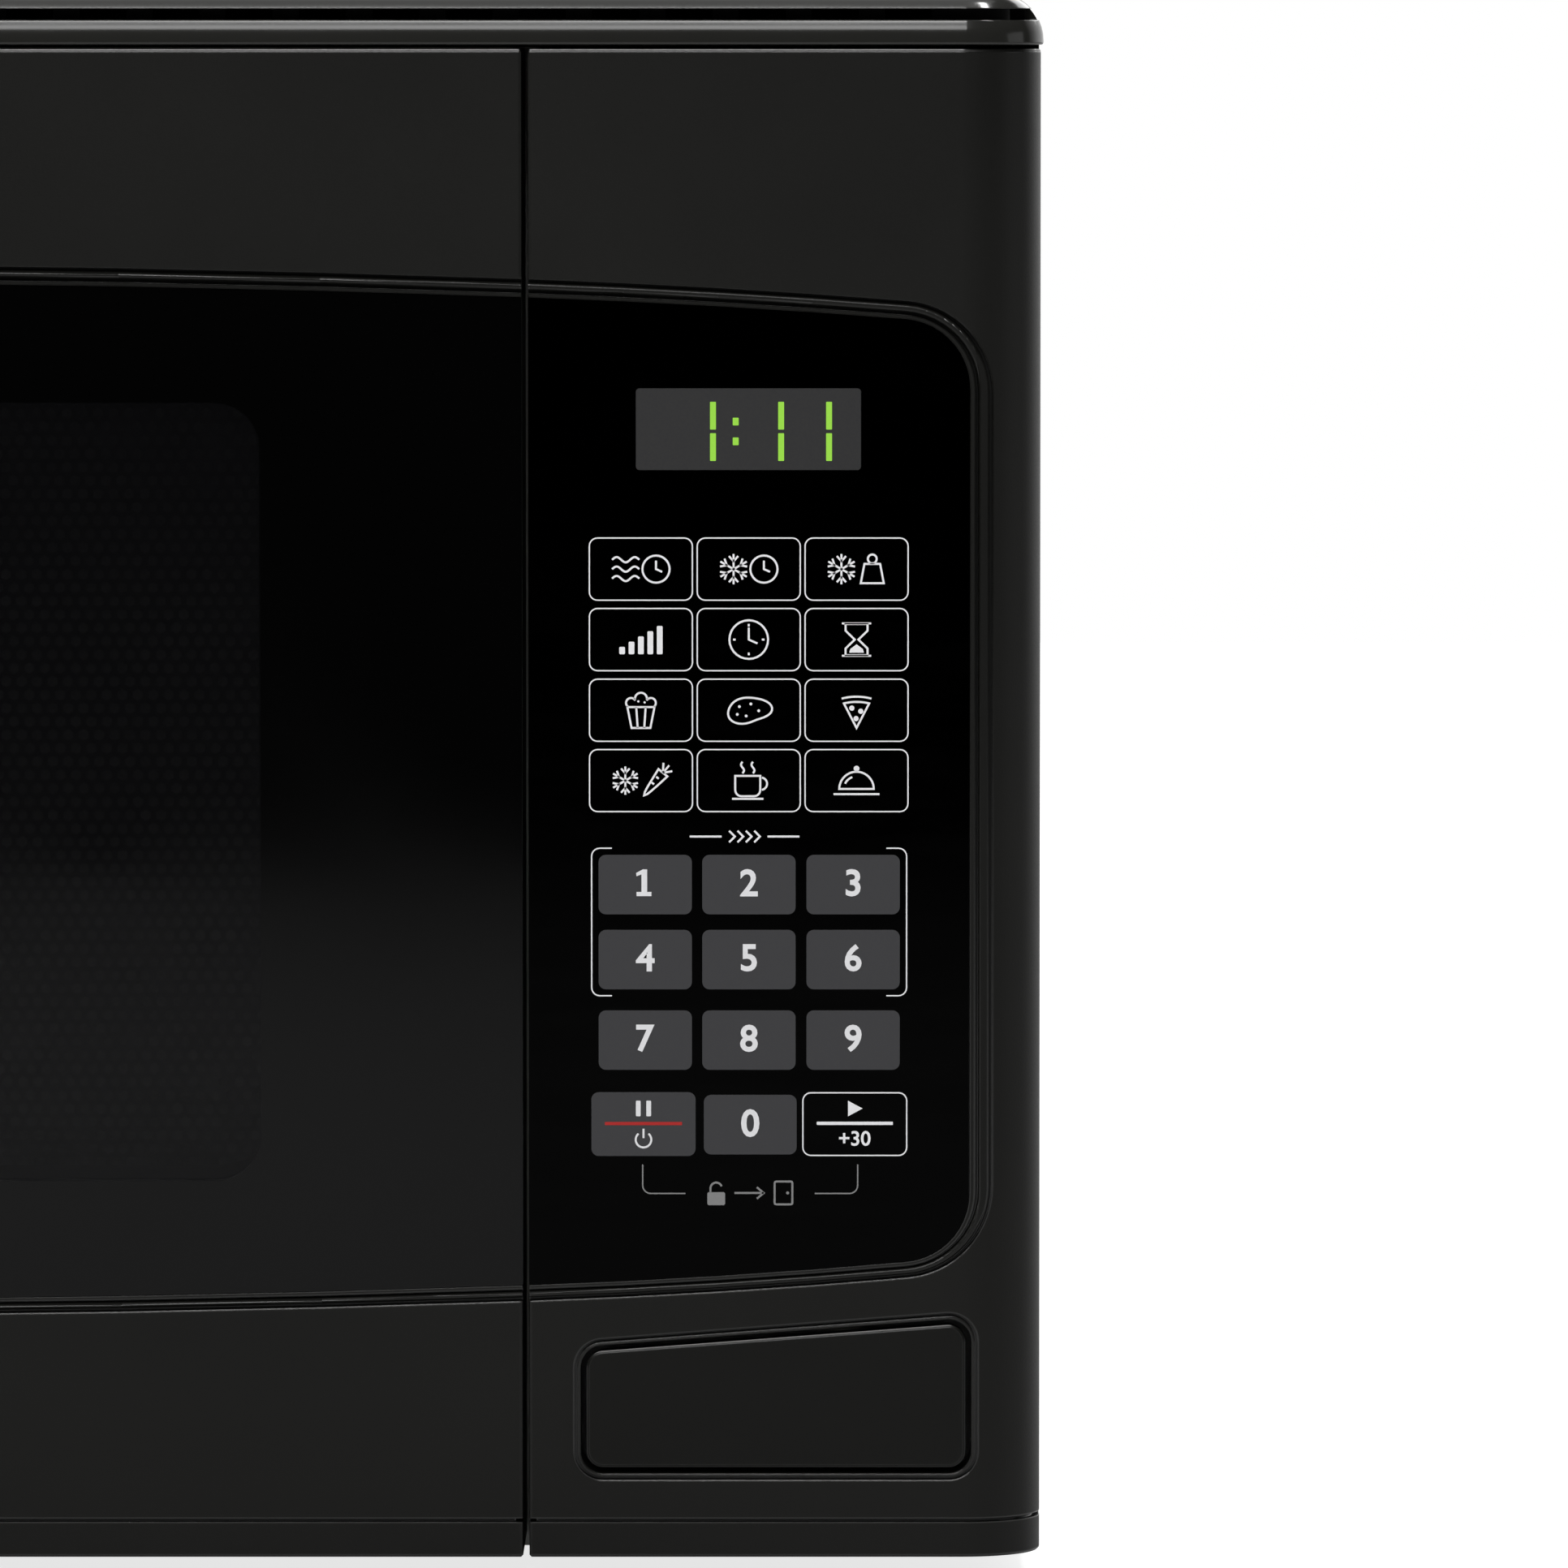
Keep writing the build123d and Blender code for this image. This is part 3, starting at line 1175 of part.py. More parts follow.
def fan_blades():
    y0 = shroud_y - 14.0
    body = rod("y", 0, y0, 0, 16, fan_hub_radius)
    body += rod("y", 0, y0 + 4, 0, shroud_y + 20 - y0 - 4, fan_shaft_radius)
    length = fan_radius - fan_hub_radius + 2
    blade = Pos(fan_hub_radius - 1 + length / 2, y0 + 8, 0) * Rot(38, 0, 0) * Box(length, 1.6, 18)
    blade &= rod("y", 0, y0 - 4, 0, 24, fan_radius)
    for k in range(fan_blade_count):
        body += Rot(0, 360 * k / fan_blade_count, 0) * blade
    return Pos(bay_mid_x, 0, fan_z) * body


def oven_lamp():
    x = bay_left_x + 9.0
    bulb = fillet(rod("x", x, lamp_y, lamp_z, 11, 9.0).edges(), 3.0)
    return bulb + rod("x", x + 10, lamp_y, lamp_z, 14, 7.0)


def lamp_holder():
    x = bay_left_x + 33.0
    plate = slab(x, x + 3, lamp_y - 14, lamp_y + 14, lamp_z - 12, lamp_z + 12)
    return plate + slab(bay_left_x, x + 3, lamp_y + 12, lamp_y + 14, lamp_z - 12, lamp_z + 12)


def thermal_cutouts():
    y = port_y - 66.0
    made = []
    for z in (antenna_z - 20, antenna_z - 60):
        body = rod("x", bay_left_x, y, z, 7, 8.0)
        made.append(body + slab(bay_left_x, bay_left_x + 1, y - 14, y + 14, z - 4, z + 4))
    return Compound(made)


# ---------- interlock behind the front plate ----------
def interlock_bracket():
    """Latch body: a flange on the front plate, a ledge under each hook and two guides for the slide."""
    x0, x1 = latch_wall_x, latch_wall_x + 2.5
    y0 = plate_back_y
    low, high = lower_hook_height - 26, upper_hook_height + 24
    body = slab(x0, x1, y0, y0 + 40, low, high) + slab(blade_x - 12, x1, y0, y0 + 2.5, low, high)
    for level in hook_levels:
        bottom, top = level - hook_half - 1.5, level + hook_half + latch_travel + 1.5
        body -= slab(blade_x - 3.5, blade_x + 4.5, y0 - 1, y0 + 4, bottom, top)
        ledge_z = level - hook_half - part_gap
        body += slab(blade_x - 3, blade_x + 4, y0 + 1.5, hook_tip_y - 10, ledge_z - 3.5, ledge_z)
    y_near, y_far = hook_tip_y - 10.2, hook_tip_y - 0.8
    for z in (lower_hook_height + 40, upper_hook_height - 40):
        guide = slab(link_x - 2, x0 + 0.5, y0 + 1, y_far, z, z + 6)
        body += guide - slab(link_x - part_gap, link_x + 3 + part_gap, y_near + 1.9, y_far - 1.9, z - 1, z + 7)
    return body - slab(x0 - 1, x1 + 1, y_near, y_far, lever_z + 1, lower_hook_height - 5)


def interlock_switches():
    """Three snap switches on the latch body."""
    x0, y0 = latch_wall_x + 2.5, plate_back_y + 11.0
    made = []
    for z in (lower_hook_height + 8, lower_hook_height + 30, upper_hook_height - 4):
        case = slab(x0, x0 + 10, y0, y0 + 28, z - 8, z + 8)
        for y in (y0 + 4, y0 + 24):
            case -= rod("x", x0 - 1, y, z - 4, 12, 1.6)
        for tab in (-5, 4):
            case += slab(x0 + 4.6, x0 + 5.4, y0 + 27.5, y0 + 35, z + tab - 2.4, z + tab + 2.4)
        made.append(case)
    return Compound(made)


def lift_slide():
    """Upright slide that the lever's finger lifts, with a lug under each hook."""
    y0, y1 = hook_tip_y - 8.0, hook_tip_y - 3.0
    z0 = lever_z + 1.5 + 0.5
    body = slab(link_x, link_x + 3, y0, y1, z0, upper_hook_height - hook_half - 0.5)
    body += slab(link_x, lever_left_x + 5.5, y0, y1, z0, z0 + 4)
    for level in hook_levels:
        top = level - hook_half - 0.5
        body += slab(blade_x - 1.8, link_x + 3, hook_tip_y - 9.5, y1, top - 3, top)
    return body


pieces = {
    "vent_grille": vent_grille,
    "control_fascia": control_fascia,
    "touch_overlay": touch_overlay,
    "keypad_membrane": keypad_membrane,
    "display_lens": display_lens,
    "display_module": display_module,
    "control_board": control_board,
    "door_button": door_button,
    "button_springs": button_springs,
    "release_lever": release_lever,
    "door_frame": door_frame,
    "door_glass": door_glass,
    "window_screen": window_screen,
    "window_film": window_film,
    "choke_panel": choke_panel,
    "choke_cover": choke_cover,
    "latch_hooks": latch_hooks,
    "latch_spring": latch_spring,
    "lower_hinge": lower_hinge,
    "upper_hinge": upper_hinge,
    "front_plate": front_plate,
    "outer_cabinet": outer_cabinet,
    "base_plate": base_plate,
    "feet": feet,
    "rear_panel": rear_panel,
    "cord_gland": cord_gland,
    "rear_spacers": rear_spacers,
    "rear_screws": rear_screws,
    "column_screws": column_screws,
    "hinge_screws": hinge_screws,
    "cavity_floor": cavity_floor,
    "cavity_ceiling": cavity_ceiling,
    "cavity_left_wall": cavity_left_wall,
    "cavity_right_wall": cavity_right_wall,
    "cavity_rear_wall": cavity_rear_wall,
    "mica_cover": mica_cover,
    "turntable_tray": turntable_tray,
    "drive_hub": drive_hub,
    "motor_shaft": motor_shaft,
    "turntable_motor": turntable_motor,
    "roller_ring": roller_ring,
    "waveguide": waveguide,
    "magnetron": magnetron,
    "transformer": transformer,
    "hv_capacitor": hv_capacitor,
    "capacitor_strap": capacitor_strap,
    "hv_diode": hv_diode,
    "filter_board": filter_board,
    "fan_shroud": fan_shroud,
    "fan_motor": fan_motor,
    "fan_blades": fan_blades,
    "oven_lamp": oven_lamp,
    "lamp_holder": lamp_holder,
    "thermal_cutouts": thermal_cutouts,
    "interlock_bracket": interlock_bracket,
    "interlock_switches": interlock_switches,
    "lift_slide": lift_slide,
}


def save(name, shape):
    shape.label = name
    export_step(shape, f"parts/{name}.step")


os.makedirs("parts", exist_ok=True)
for piece_name, make in pieces.items():
    save(piece_name, make())
for k, wheel_angle in enumerate(roller_angles(), start=1):
    save(f"roller_{k}", roller(wheel_angle))
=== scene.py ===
import math

import bmesh
import bpy
import numpy as np
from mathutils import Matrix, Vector


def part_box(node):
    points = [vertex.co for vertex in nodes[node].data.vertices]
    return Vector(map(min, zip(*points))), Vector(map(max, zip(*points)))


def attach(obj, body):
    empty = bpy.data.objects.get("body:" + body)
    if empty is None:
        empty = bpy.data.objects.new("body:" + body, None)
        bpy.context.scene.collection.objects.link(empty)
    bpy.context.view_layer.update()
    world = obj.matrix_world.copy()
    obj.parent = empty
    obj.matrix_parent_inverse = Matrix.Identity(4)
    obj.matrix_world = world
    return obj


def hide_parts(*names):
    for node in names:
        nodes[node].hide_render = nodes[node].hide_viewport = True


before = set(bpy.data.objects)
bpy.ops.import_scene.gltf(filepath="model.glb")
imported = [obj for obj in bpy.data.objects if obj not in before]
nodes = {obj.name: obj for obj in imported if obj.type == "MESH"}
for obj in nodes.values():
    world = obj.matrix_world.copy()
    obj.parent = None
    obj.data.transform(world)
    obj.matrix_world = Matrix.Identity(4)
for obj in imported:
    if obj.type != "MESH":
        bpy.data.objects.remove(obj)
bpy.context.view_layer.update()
mm = 0.001


# sRGB values out of 255, made linear for the shaders, and darker or lighter by a factor
def linear(colour, factor=1.0):
    part = np.array(colour, float) / 255
    part = np.where(part <= 0.04045, part / 12.92, ((part + 0.055) / 1.055) ** 2.4)
    return tuple(part * factor) + (1.0,)


# links a socket to an input, or sets the input to a value
def feed(tree, place, value):
    if isinstance(value, bpy.types.NodeSocket):
        tree.links.new(value, place)
    else:
        place.default_value = value


# a shader node: what is named as an input goes to it, and other settings to the node
def add(tree, kind, **settings):
    made = tree.nodes.new("ShaderNode" + kind)
    for key, value in settings.items():
        name = key.replace("_", " ")
        if name in made.inputs:
            feed(tree, made.inputs[name], value)
        else:
            setattr(made, key, value)
    return made


# one step of arithmetic between sockets or numbers
def calc(tree, operation, *values):
    made = add(tree, "Math", operation=operation)
    for place, value in zip(made.inputs, values):
        feed(tree, place, value)
    return made.outputs[0]


# the same between vectors, with the number that a vector is scaled by as factor
def vectorCalc(tree, operation, *values, factor=None):
    made = add(tree, "VectorMath", operation=operation)
    for place, value in zip(made.inputs, values):
        feed(tree, place, value)
    if factor is not None:
        feed(tree, made.inputs["Scale"], factor)
    return made.outputs["Value" if operation in ("LENGTH", "DOT_PRODUCT") else "Vector"]


# blends two colours by a factor, and each of the three may be a socket
def blendColours(tree, factor, first, second):
    made = add(tree, "Mix", data_type="RGBA")
    for place, value in ((0, factor), (6, first), (7, second)):
        feed(tree, made.inputs[place], value)
    return made.outputs[2]


# maps a socket from one range to another, clamped
def spread(tree, value, low, high, fromLow=0.0, fromHigh=1.0):
    made = add(tree, "MapRange", Value=value, From_Min=fromLow, From_Max=fromHigh, To_Min=low, To_Max=high)
    return made.outputs["Result"]


# maps noise, most of which lies between 0.3 and 0.7, to a range
def vary(tree, value, low, high):
    return spread(tree, value, low, high, 0.3, 0.7)


# Object coordinates, which a Mapping node moves, turns and scales
def objectPlace(tree, scale=(1, 1, 1), offset=(0, 0, 0), turn=(0, 0, 0)):
    source = add(tree, "TexCoord").outputs["Object"]
    return add(tree, "Mapping", Vector=source, Location=offset, Rotation=turn, Scale=scale).outputs["Vector"]


# the X, Y and Z of Object coordinates as three sockets
def objectAxes(tree):
    return add(tree, "SeparateXYZ", Vector=objectPlace(tree)).outputs


def noise(tree, place, size, detail=2.0):
    return add(tree, "TexNoise", Vector=place, Scale=1 / size, Detail=detail).outputs["Fac"]


def plainNormal(tree):
    return add(tree, "NewGeometry").outputs["Normal"]


# the normal beside edges: rounded within reach, or turned by no more than the slope of a flat chamfer
def easedNormal(tree, reach, slope=None):
    rounded = add(tree, "Bevel", samples=6, Radius=reach).outputs["Normal"]
    if slope is None:
        return rounded
    plain = plainNormal(tree)
    turned = vectorCalc(tree, "SUBTRACT", rounded, plain)
    part = calc(tree, "MINIMUM", calc(tree, "DIVIDE", slope, vectorCalc(tree, "LENGTH", turned)), 1.0)
    sloped = vectorCalc(tree, "ADD", plain, vectorCalc(tree, "SCALE", turned, factor=part))
    return vectorCalc(tree, "NORMALIZE", sloped)


# puts a height on the shader as bump, over the normal of eased edges if their reach is given
def addBump(tree, shader, height, depth, edge=0.0, slope=None):
    bump = add(tree, "Bump", Distance=depth, Height=height)
    if edge:
        tree.links.new(easedNormal(tree, edge, slope), bump.inputs["Normal"])
    tree.links.new(bump.outputs["Normal"], shader.inputs["Normal"])


# a Principled material with its flat settings on the shader's own sockets
def startFinish(name, colour, roughness, metallic=0.0, **sockets):
    made = bpy.data.materials.new(name)
    made.use_nodes = True
    tree = made.node_tree
    shader = tree.nodes["Principled BSDF"]
    sockets.update(Base_Color=linear(colour), Roughness=roughness, Metallic=metallic)
    for key, value in sockets.items():
        shader.inputs[key.replace("_", " ")].default_value = value
    return made, tree, shader


# flat chamfers on the front's mouldings: how far behind the face plane they fade, above what height
# they begin, and how wide they are
chamfer = {
    "plane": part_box("door_frame")[0].y, "fade": (0.05 * mm, 0.12 * mm), "above": (17 * mm, 18 * mm),
    "reach": 0.75 * mm,
}
# worn edges: their reach, how rough their coat is, and how well the two normals match on and off them
wear = {"reach": 0.5 * mm, "coatRoughness": 0.12, "match": (0.97, 0.998)}


# an edge's reach and the most that its normal turns: on the face plane those of a flat chamfer, and
# elsewhere the reach that is given and a turn of 2, which is no limit between unit normals
def chamferedEdge(tree, reach, slope):
    axes = objectAxes(tree)
    near, far = (chamfer["plane"] + depth for depth in chamfer["fade"])
    onFace = spread(tree, axes["Y"], 1, 0, near, far)
    onFace = calc(tree, "MULTIPLY", onFace, spread(tree, axes["Z"], 0, 1, *chamfer["above"]))
    return spread(tree, onFace, reach, chamfer["reach"]), spread(tree, onFace, 2, slope)


# 1 on and beside edges, where the normal of the rounded surface turns away from the real one
def edgeMask(tree, reach):
    match = vectorCalc(tree, "DOT_PRODUCT", easedNormal(tree, reach), plainNormal(tree))
    return spread(tree, match, 1, 0, *wear["match"])


# moulded plastic or paint: fine grain, faint cloudiness of colour and of gloss, and edges worn smoother
def grainedFinish(name, colour, roughness, grain=0.35 * mm, depth=0.02 * mm, cloud=0.12, edge=0.0, slope=None,
                  haze=0.03, polish=0.0, coat=0.0, **sockets):
    made, tree, shader = startFinish(name, colour, roughness, **sockets)
    if slope:
        edge, slope = chamferedEdge(tree, edge, slope)
    place = objectPlace(tree)
    broad, fine = noise(tree, place, 60 * mm, 3.0), noise(tree, place, grain)
    mixed = blendColours(tree, vary(tree, broad, 0, 1), linear(colour, 1 - cloud), linear(colour, 1 + cloud))
    tree.links.new(mixed, shader.inputs["Base Color"])
    gloss = calc(tree, "ADD", vary(tree, broad, -haze, haze), vary(tree, fine, -0.03, 0.03))
    gloss = calc(tree, "ADD", gloss, roughness)
    if polish:
        worn = edgeMask(tree, wear["reach"])
        gloss = calc(tree, "SUBTRACT", gloss, calc(tree, "MULTIPLY", worn, polish))
        tree.links.new(calc(tree, "MULTIPLY", worn, coat), shader.inputs["Coat Weight"])
        shader.inputs["Coat Roughness"].default_value = wear["coatRoughness"]
    tree.links.new(gloss, shader.inputs["Roughness"])
    addBump(tree, shader, fine, depth, edge, slope)
    return made


# light enamel with a faint orange-peel surface; near black above a height if one is given, which is painted
# shade
def enamelFinish(name, colour, paintedShadeAbove=None):
    made, tree, shader = startFinish(name, colour, 0.32)
    place = objectPlace(tree)
    broad, fine = noise(tree, place, 90 * mm), noise(tree, place, 1.6 * mm, 1.0)
    ground = blendColours(tree, broad, linear(colour, 0.97), linear(colour, 1.03))
    ground = blendColours(tree, spread(tree, fine, 0, 0.12, 0.5, 0.75), ground, linear(colour, 0.6))
    # painted shade: near black above the height, where the sheet lies in the shaded gap behind the grille
    if paintedShadeAbove:
        dark = spread(tree, objectAxes(tree)["Z"], 0, 1, paintedShadeAbove - 0.1 * mm, paintedShadeAbove)
        ground = blendColours(tree, dark, ground, linear((4, 4, 4)))
    tree.links.new(ground, shader.inputs["Base Color"])
    tree.links.new(vary(tree, broad, 0.28, 0.36), shader.inputs["Roughness"])
    addBump(tree, shader, fine, 0.015 * mm)
    return made


# sheet metal: rolled streaks along X and zinc spangle
def platedFinish(name, colour, roughness=0.34, spangle=7 * mm):
    made, tree, shader = startFinish(name, colour, roughness, metallic=1.0)
    streaks = noise(tree, objectPlace(tree, scale=(1, 40, 40)), 30 * mm, 4.0)
    cells = add(tree, "TexVoronoi", Vector=objectPlace(tree), Scale=1 / spangle, feature="SMOOTH_F1")
    shade = calc(tree, "MULTIPLY", cells.outputs["Distance"], 0.8)
    mixed = blendColours(tree, shade, linear(colour, 1.05), linear(colour, 0.78))
    tree.links.new(mixed, shader.inputs["Base Color"])
    rough = calc(tree, "ADD", vary(tree, streaks, -0.08, 0.08), spread(tree, shade, -0.05, 0.06))
    tree.links.new(calc(tree, "ADD", rough, roughness), shader.inputs["Roughness"])
    addBump(tree, shader, streaks, 0.01 * mm)
    return made


# printed ink: even colour with the slight mottle of screen printing
def inkFinish(name, colour, glow=0.0):
    made, tree, shader = startFinish(name, colour, 0.5, Specular_IOR_Level=0.2)
    mottle = noise(tree, objectPlace(tree), 0.4 * mm, 1.0)
    mixed = blendColours(tree, mottle, linear(colour, 0.95), linear(colour, 1.03))
    tree.links.new(vary(tree, mottle, 0.45, 0.55), shader.inputs["Roughness"])
    if glow:
        shader.inputs["Base Color"].default_value = (0, 0, 0, 1)
        shader.inputs["Emission Strength"].default_value = glow
    tree.links.new(mixed, shader.inputs["Emission Color" if glow else "Base Color"])
    return made


# glossy black sheet or moulding: near mirror, with faint waviness and the smears of a wiping cloth
def glossFinish(name, colour, roughness, specular, edge=0.0, smear=0.35):
    made, tree, shader = startFinish(name, colour, roughness, Specular_IOR_Level=specular)
    broad = noise(tree, objectPlace(tree), 45 * mm)
    wiped = noise(tree, objectPlace(tree, scale=(1, 1, 5), turn=(0, 0.5, 0)), 25 * mm, 4.0)
    smooth, rough = roughness * (1 - smear), roughness * (1 + smear)
    tree.links.new(spread(tree, wiped, smooth, rough, 0.35, 0.7), shader.inputs["Roughness"])
    mixed = blendColours(tree, broad, linear(colour, 0.9), linear(colour, 1.1))
    tree.links.new(mixed, shader.inputs["Base Color"])
    addBump(tree, shader, broad, 0.01 * mm, edge)
    return made


# 1 inside a rounded rectangle in two axes and 0 outside it, fading over the last 0.4 mm
def windowMask(tree, low, high, corner, axes="XZ"):
    place = objectAxes(tree)
    reach = []
    for axis, first, last in zip(axes, low, high):
        off = calc(tree, "ABSOLUTE", calc(tree, "SUBTRACT", place[axis], (first + last) / 2))
        reach.append(calc(tree, "MAXIMUM", calc(tree, "SUBTRACT", off, (last - first) / 2 - corner), 0.0))
    length = calc(tree, "SQRT", calc(tree, "ADD", *[calc(tree, "MULTIPLY", r, r) for r in reach]))
    return spread(tree, length, 1, 0, corner - 0.4 * mm, corner)


# the grille's slot: its sill and head above the grille's foot, the outline behind which it is painted near
# black as shade, and the colour of that painted shade
grilleSlot = {
    "sill": 4.5 * mm, "head": 7.1 * mm, "inset": 3 * mm, "corner": 12 * mm,
    "shadeColour": (0.0004, 0.0004, 0.0004, 1),
}


# glossy moulding with painted shade inside its slot: near black and fully rough there
def grilleFinish(name, colour, low, high):
    made = glossFinish(name, colour, 0.14, 0.5, edge=0.35 * mm, smear=0.1)
    tree = made.node_tree
    shader = tree.nodes["Principled BSDF"]
    inset, sill, head = (grilleSlot[part] for part in ("inset", "sill", "head"))
    front = (low.x + inset, low.y + inset)
    back = (high.x - inset, high.y + 1)                               # open at the back
    inside = windowMask(tree, front, back, grilleSlot["corner"], axes="XY")
    off = calc(tree, "ABSOLUTE", calc(tree, "SUBTRACT", objectAxes(tree)["Z"], low.z + (sill + head) / 2))
    level = spread(tree, off, 1, 0, (head - sill) / 2, (head - sill) / 2 + 0.1 * mm)
    # painted shade: inside the slot the colour turns near black and the surface fully rough
    dark = calc(tree, "MULTIPLY", inside, level)
    for socket, value in (("Base Color", grilleSlot["shadeColour"]), ("Roughness", (0.9, 0.9, 0.9, 1))):
        fed = shader.inputs[socket].links[0].from_socket
        tree.links.new(blendColours(tree, dark, fed, value), shader.inputs[socket])
    return made


# the door's glass: black border printed on its back, dark and clear inside the window
def doorGlassFinish(name, low, high, corner):
    made, tree, shader = startFinish(name, (4, 4, 5), 0.06, Specular_IOR_Level=0.22)
    mask = windowMask(tree, low, high, corner)
    tree.links.new(spread(tree, mask, 1.0, 0.62), shader.inputs["Alpha"])
    broad = noise(tree, objectPlace(tree), 50 * mm)
    tree.links.new(vary(tree, broad, 0.04, 0.09), shader.inputs["Roughness"])
    tint = blendColours(tree, mask, linear((3, 3, 3)), linear((12, 12, 13)))
    tree.links.new(tint, shader.inputs["Base Color"])
    addBump(tree, shader, broad, 0.01 * mm)
    return made


# clear pressed glass, with the fine rings that the mould leaves about the tray's axis
def trayGlassFinish(name, centre):
    made, tree, shader = startFinish(name, (240, 248, 245), 0.03, Transmission_Weight=1.0, IOR=1.5)
    place = objectPlace(tree, offset=(-centre[0], -centre[1], 0))
    rings = add(tree, "TexWave", Vector=place, Scale=30.0, wave_type="RINGS", rings_direction="Z")
    frost = noise(tree, place, 6 * mm, 3.0)
    tree.links.new(spread(tree, frost, 0.02, 0.08, 0.4, 0.7), shader.inputs["Roughness"])
    addBump(tree, shader, rings.outputs["Fac"], 0.12 * mm)
    return made


# thin clear film
def filmFinish(name):
    made, tree, shader = startFinish(name, (200, 200, 200), 0.1, Alpha=0.12)
    place = objectPlace(tree)
    tree.links.new(vary(tree, noise(tree, place, 30 * mm), 0.06, 0.2), shader.inputs["Roughness"])
    addBump(tree, shader, noise(tree, place, 18 * mm), 0.03 * mm)
    return made


# the smoked lens over the display
def lensFinish(name):
    made, tree, shader = startFinish(name, (55, 55, 55), 0.18, Specular_IOR_Level=0.12)
    place = objectPlace(tree)
    grid = add(tree, "TexVoronoi", Vector=place, Scale=1 / (0.5 * mm), feature="F1")
    mixed = blendColours(tree, grid.outputs["Distance"], linear((56, 56, 56)), linear((53, 53, 54)))
    tree.links.new(mixed, shader.inputs["Base Color"])
    addBump(tree, shader, noise(tree, place, 20 * mm), 0.01 * mm)
    return made


board = {"thickness": 1.6 * mm, "fade": 0.2 * mm, "filterRise": 7 * mm}


# circuit board: green lacquer with lighter tracks up to its face along an axis, and moulded parts past it
def boardFinish(name, axis, back):
    made, tree, shader = startFinish(name, (24, 84, 44), 0.4)
    face = back + board["thickness"]
    onBoard = spread(tree, objectAxes(tree)[axis], 1, 0, face, face + board["fade"])
    black, white = (0, 0, 0, 1), (1, 1, 1, 1)
    tracks = add(tree, "TexBrick", Vector=objectPlace(tree, scale=(160, 160, 160)), Scale=1.0,
                 Color1=black, Color2=black, Mortar=white, Mortar_Size=0.06).outputs["Color"]
    lacquer = blendColours(tree, tracks, linear((22, 78, 42)), linear((70, 128, 66)))
    body = noise(tree, objectPlace(tree), 16 * mm, 0.0)
    body = spread(tree, body, 0, 1, 0.42, 0.5)
    parts = blendColours(tree, body, linear((24, 24, 26)), linear((150, 140, 96)))
    tree.links.new(blendColours(tree, onBoard, parts, lacquer), shader.inputs["Base Color"])
    addBump(tree, shader, tracks, 0.05 * mm)
    return made


core = {"sheet": 3.2 * mm, "wire": 5 * mm, "winding": 14.5 * mm, "fade": 0.7 * mm}


# laminated core, with copper windings that stand out at its front and back
def coreFinish(name, low, high):
    made, tree, shader = startFinish(name, (80, 78, 76), 0.45, metallic=0.7)
    place = objectPlace(tree)
    sheets = add(tree, "TexWave", Vector=place, Scale=1 / core["sheet"], bands_direction="Y").outputs["Fac"]
    wires = add(tree, "TexWave", Vector=place, Scale=1 / core["wire"], bands_direction="Z").outputs["Fac"]
    edge = (high.y - low.y) / 2 - core["winding"]
    off = calc(tree, "ABSOLUTE", calc(tree, "SUBTRACT", objectAxes(tree)["Y"], (high.y + low.y) / 2))
    wound = spread(tree, off, 0, 1, edge, edge + core["fade"])
    steel = blendColours(tree, sheets, linear((52, 50, 48)), linear((96, 94, 92)))
    copper = blendColours(tree, wires, linear((120, 58, 26)), linear((196, 112, 56)))
    tree.links.new(blendColours(tree, wound, steel, copper), shader.inputs["Base Color"])
    addBump(tree, shader, wires, 0.2 * mm)
    return made


# the lamp's thin glass
def bulbFinish(name):
    made, tree, shader = startFinish(name, (250, 246, 236), 0.05, Transmission_Weight=1.0, IOR=1.45)
    haze = noise(tree, objectPlace(tree), 8 * mm)
    tree.links.new(vary(tree, haze, 0.03, 0.1), shader.inputs["Roughness"])
    return made


window = {"inset": 8 * mm, "corner": 9 * mm}                          # the clear part of the glass
screenLow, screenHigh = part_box("window_screen")
windowLow = (screenLow.x + window["inset"], screenLow.z + window["inset"])
windowHigh = (screenHigh.x - window["inset"], screenHigh.z - window["inset"])
grilleLow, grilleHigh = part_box("vent_grille")
trayLow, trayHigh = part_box("turntable_tray")

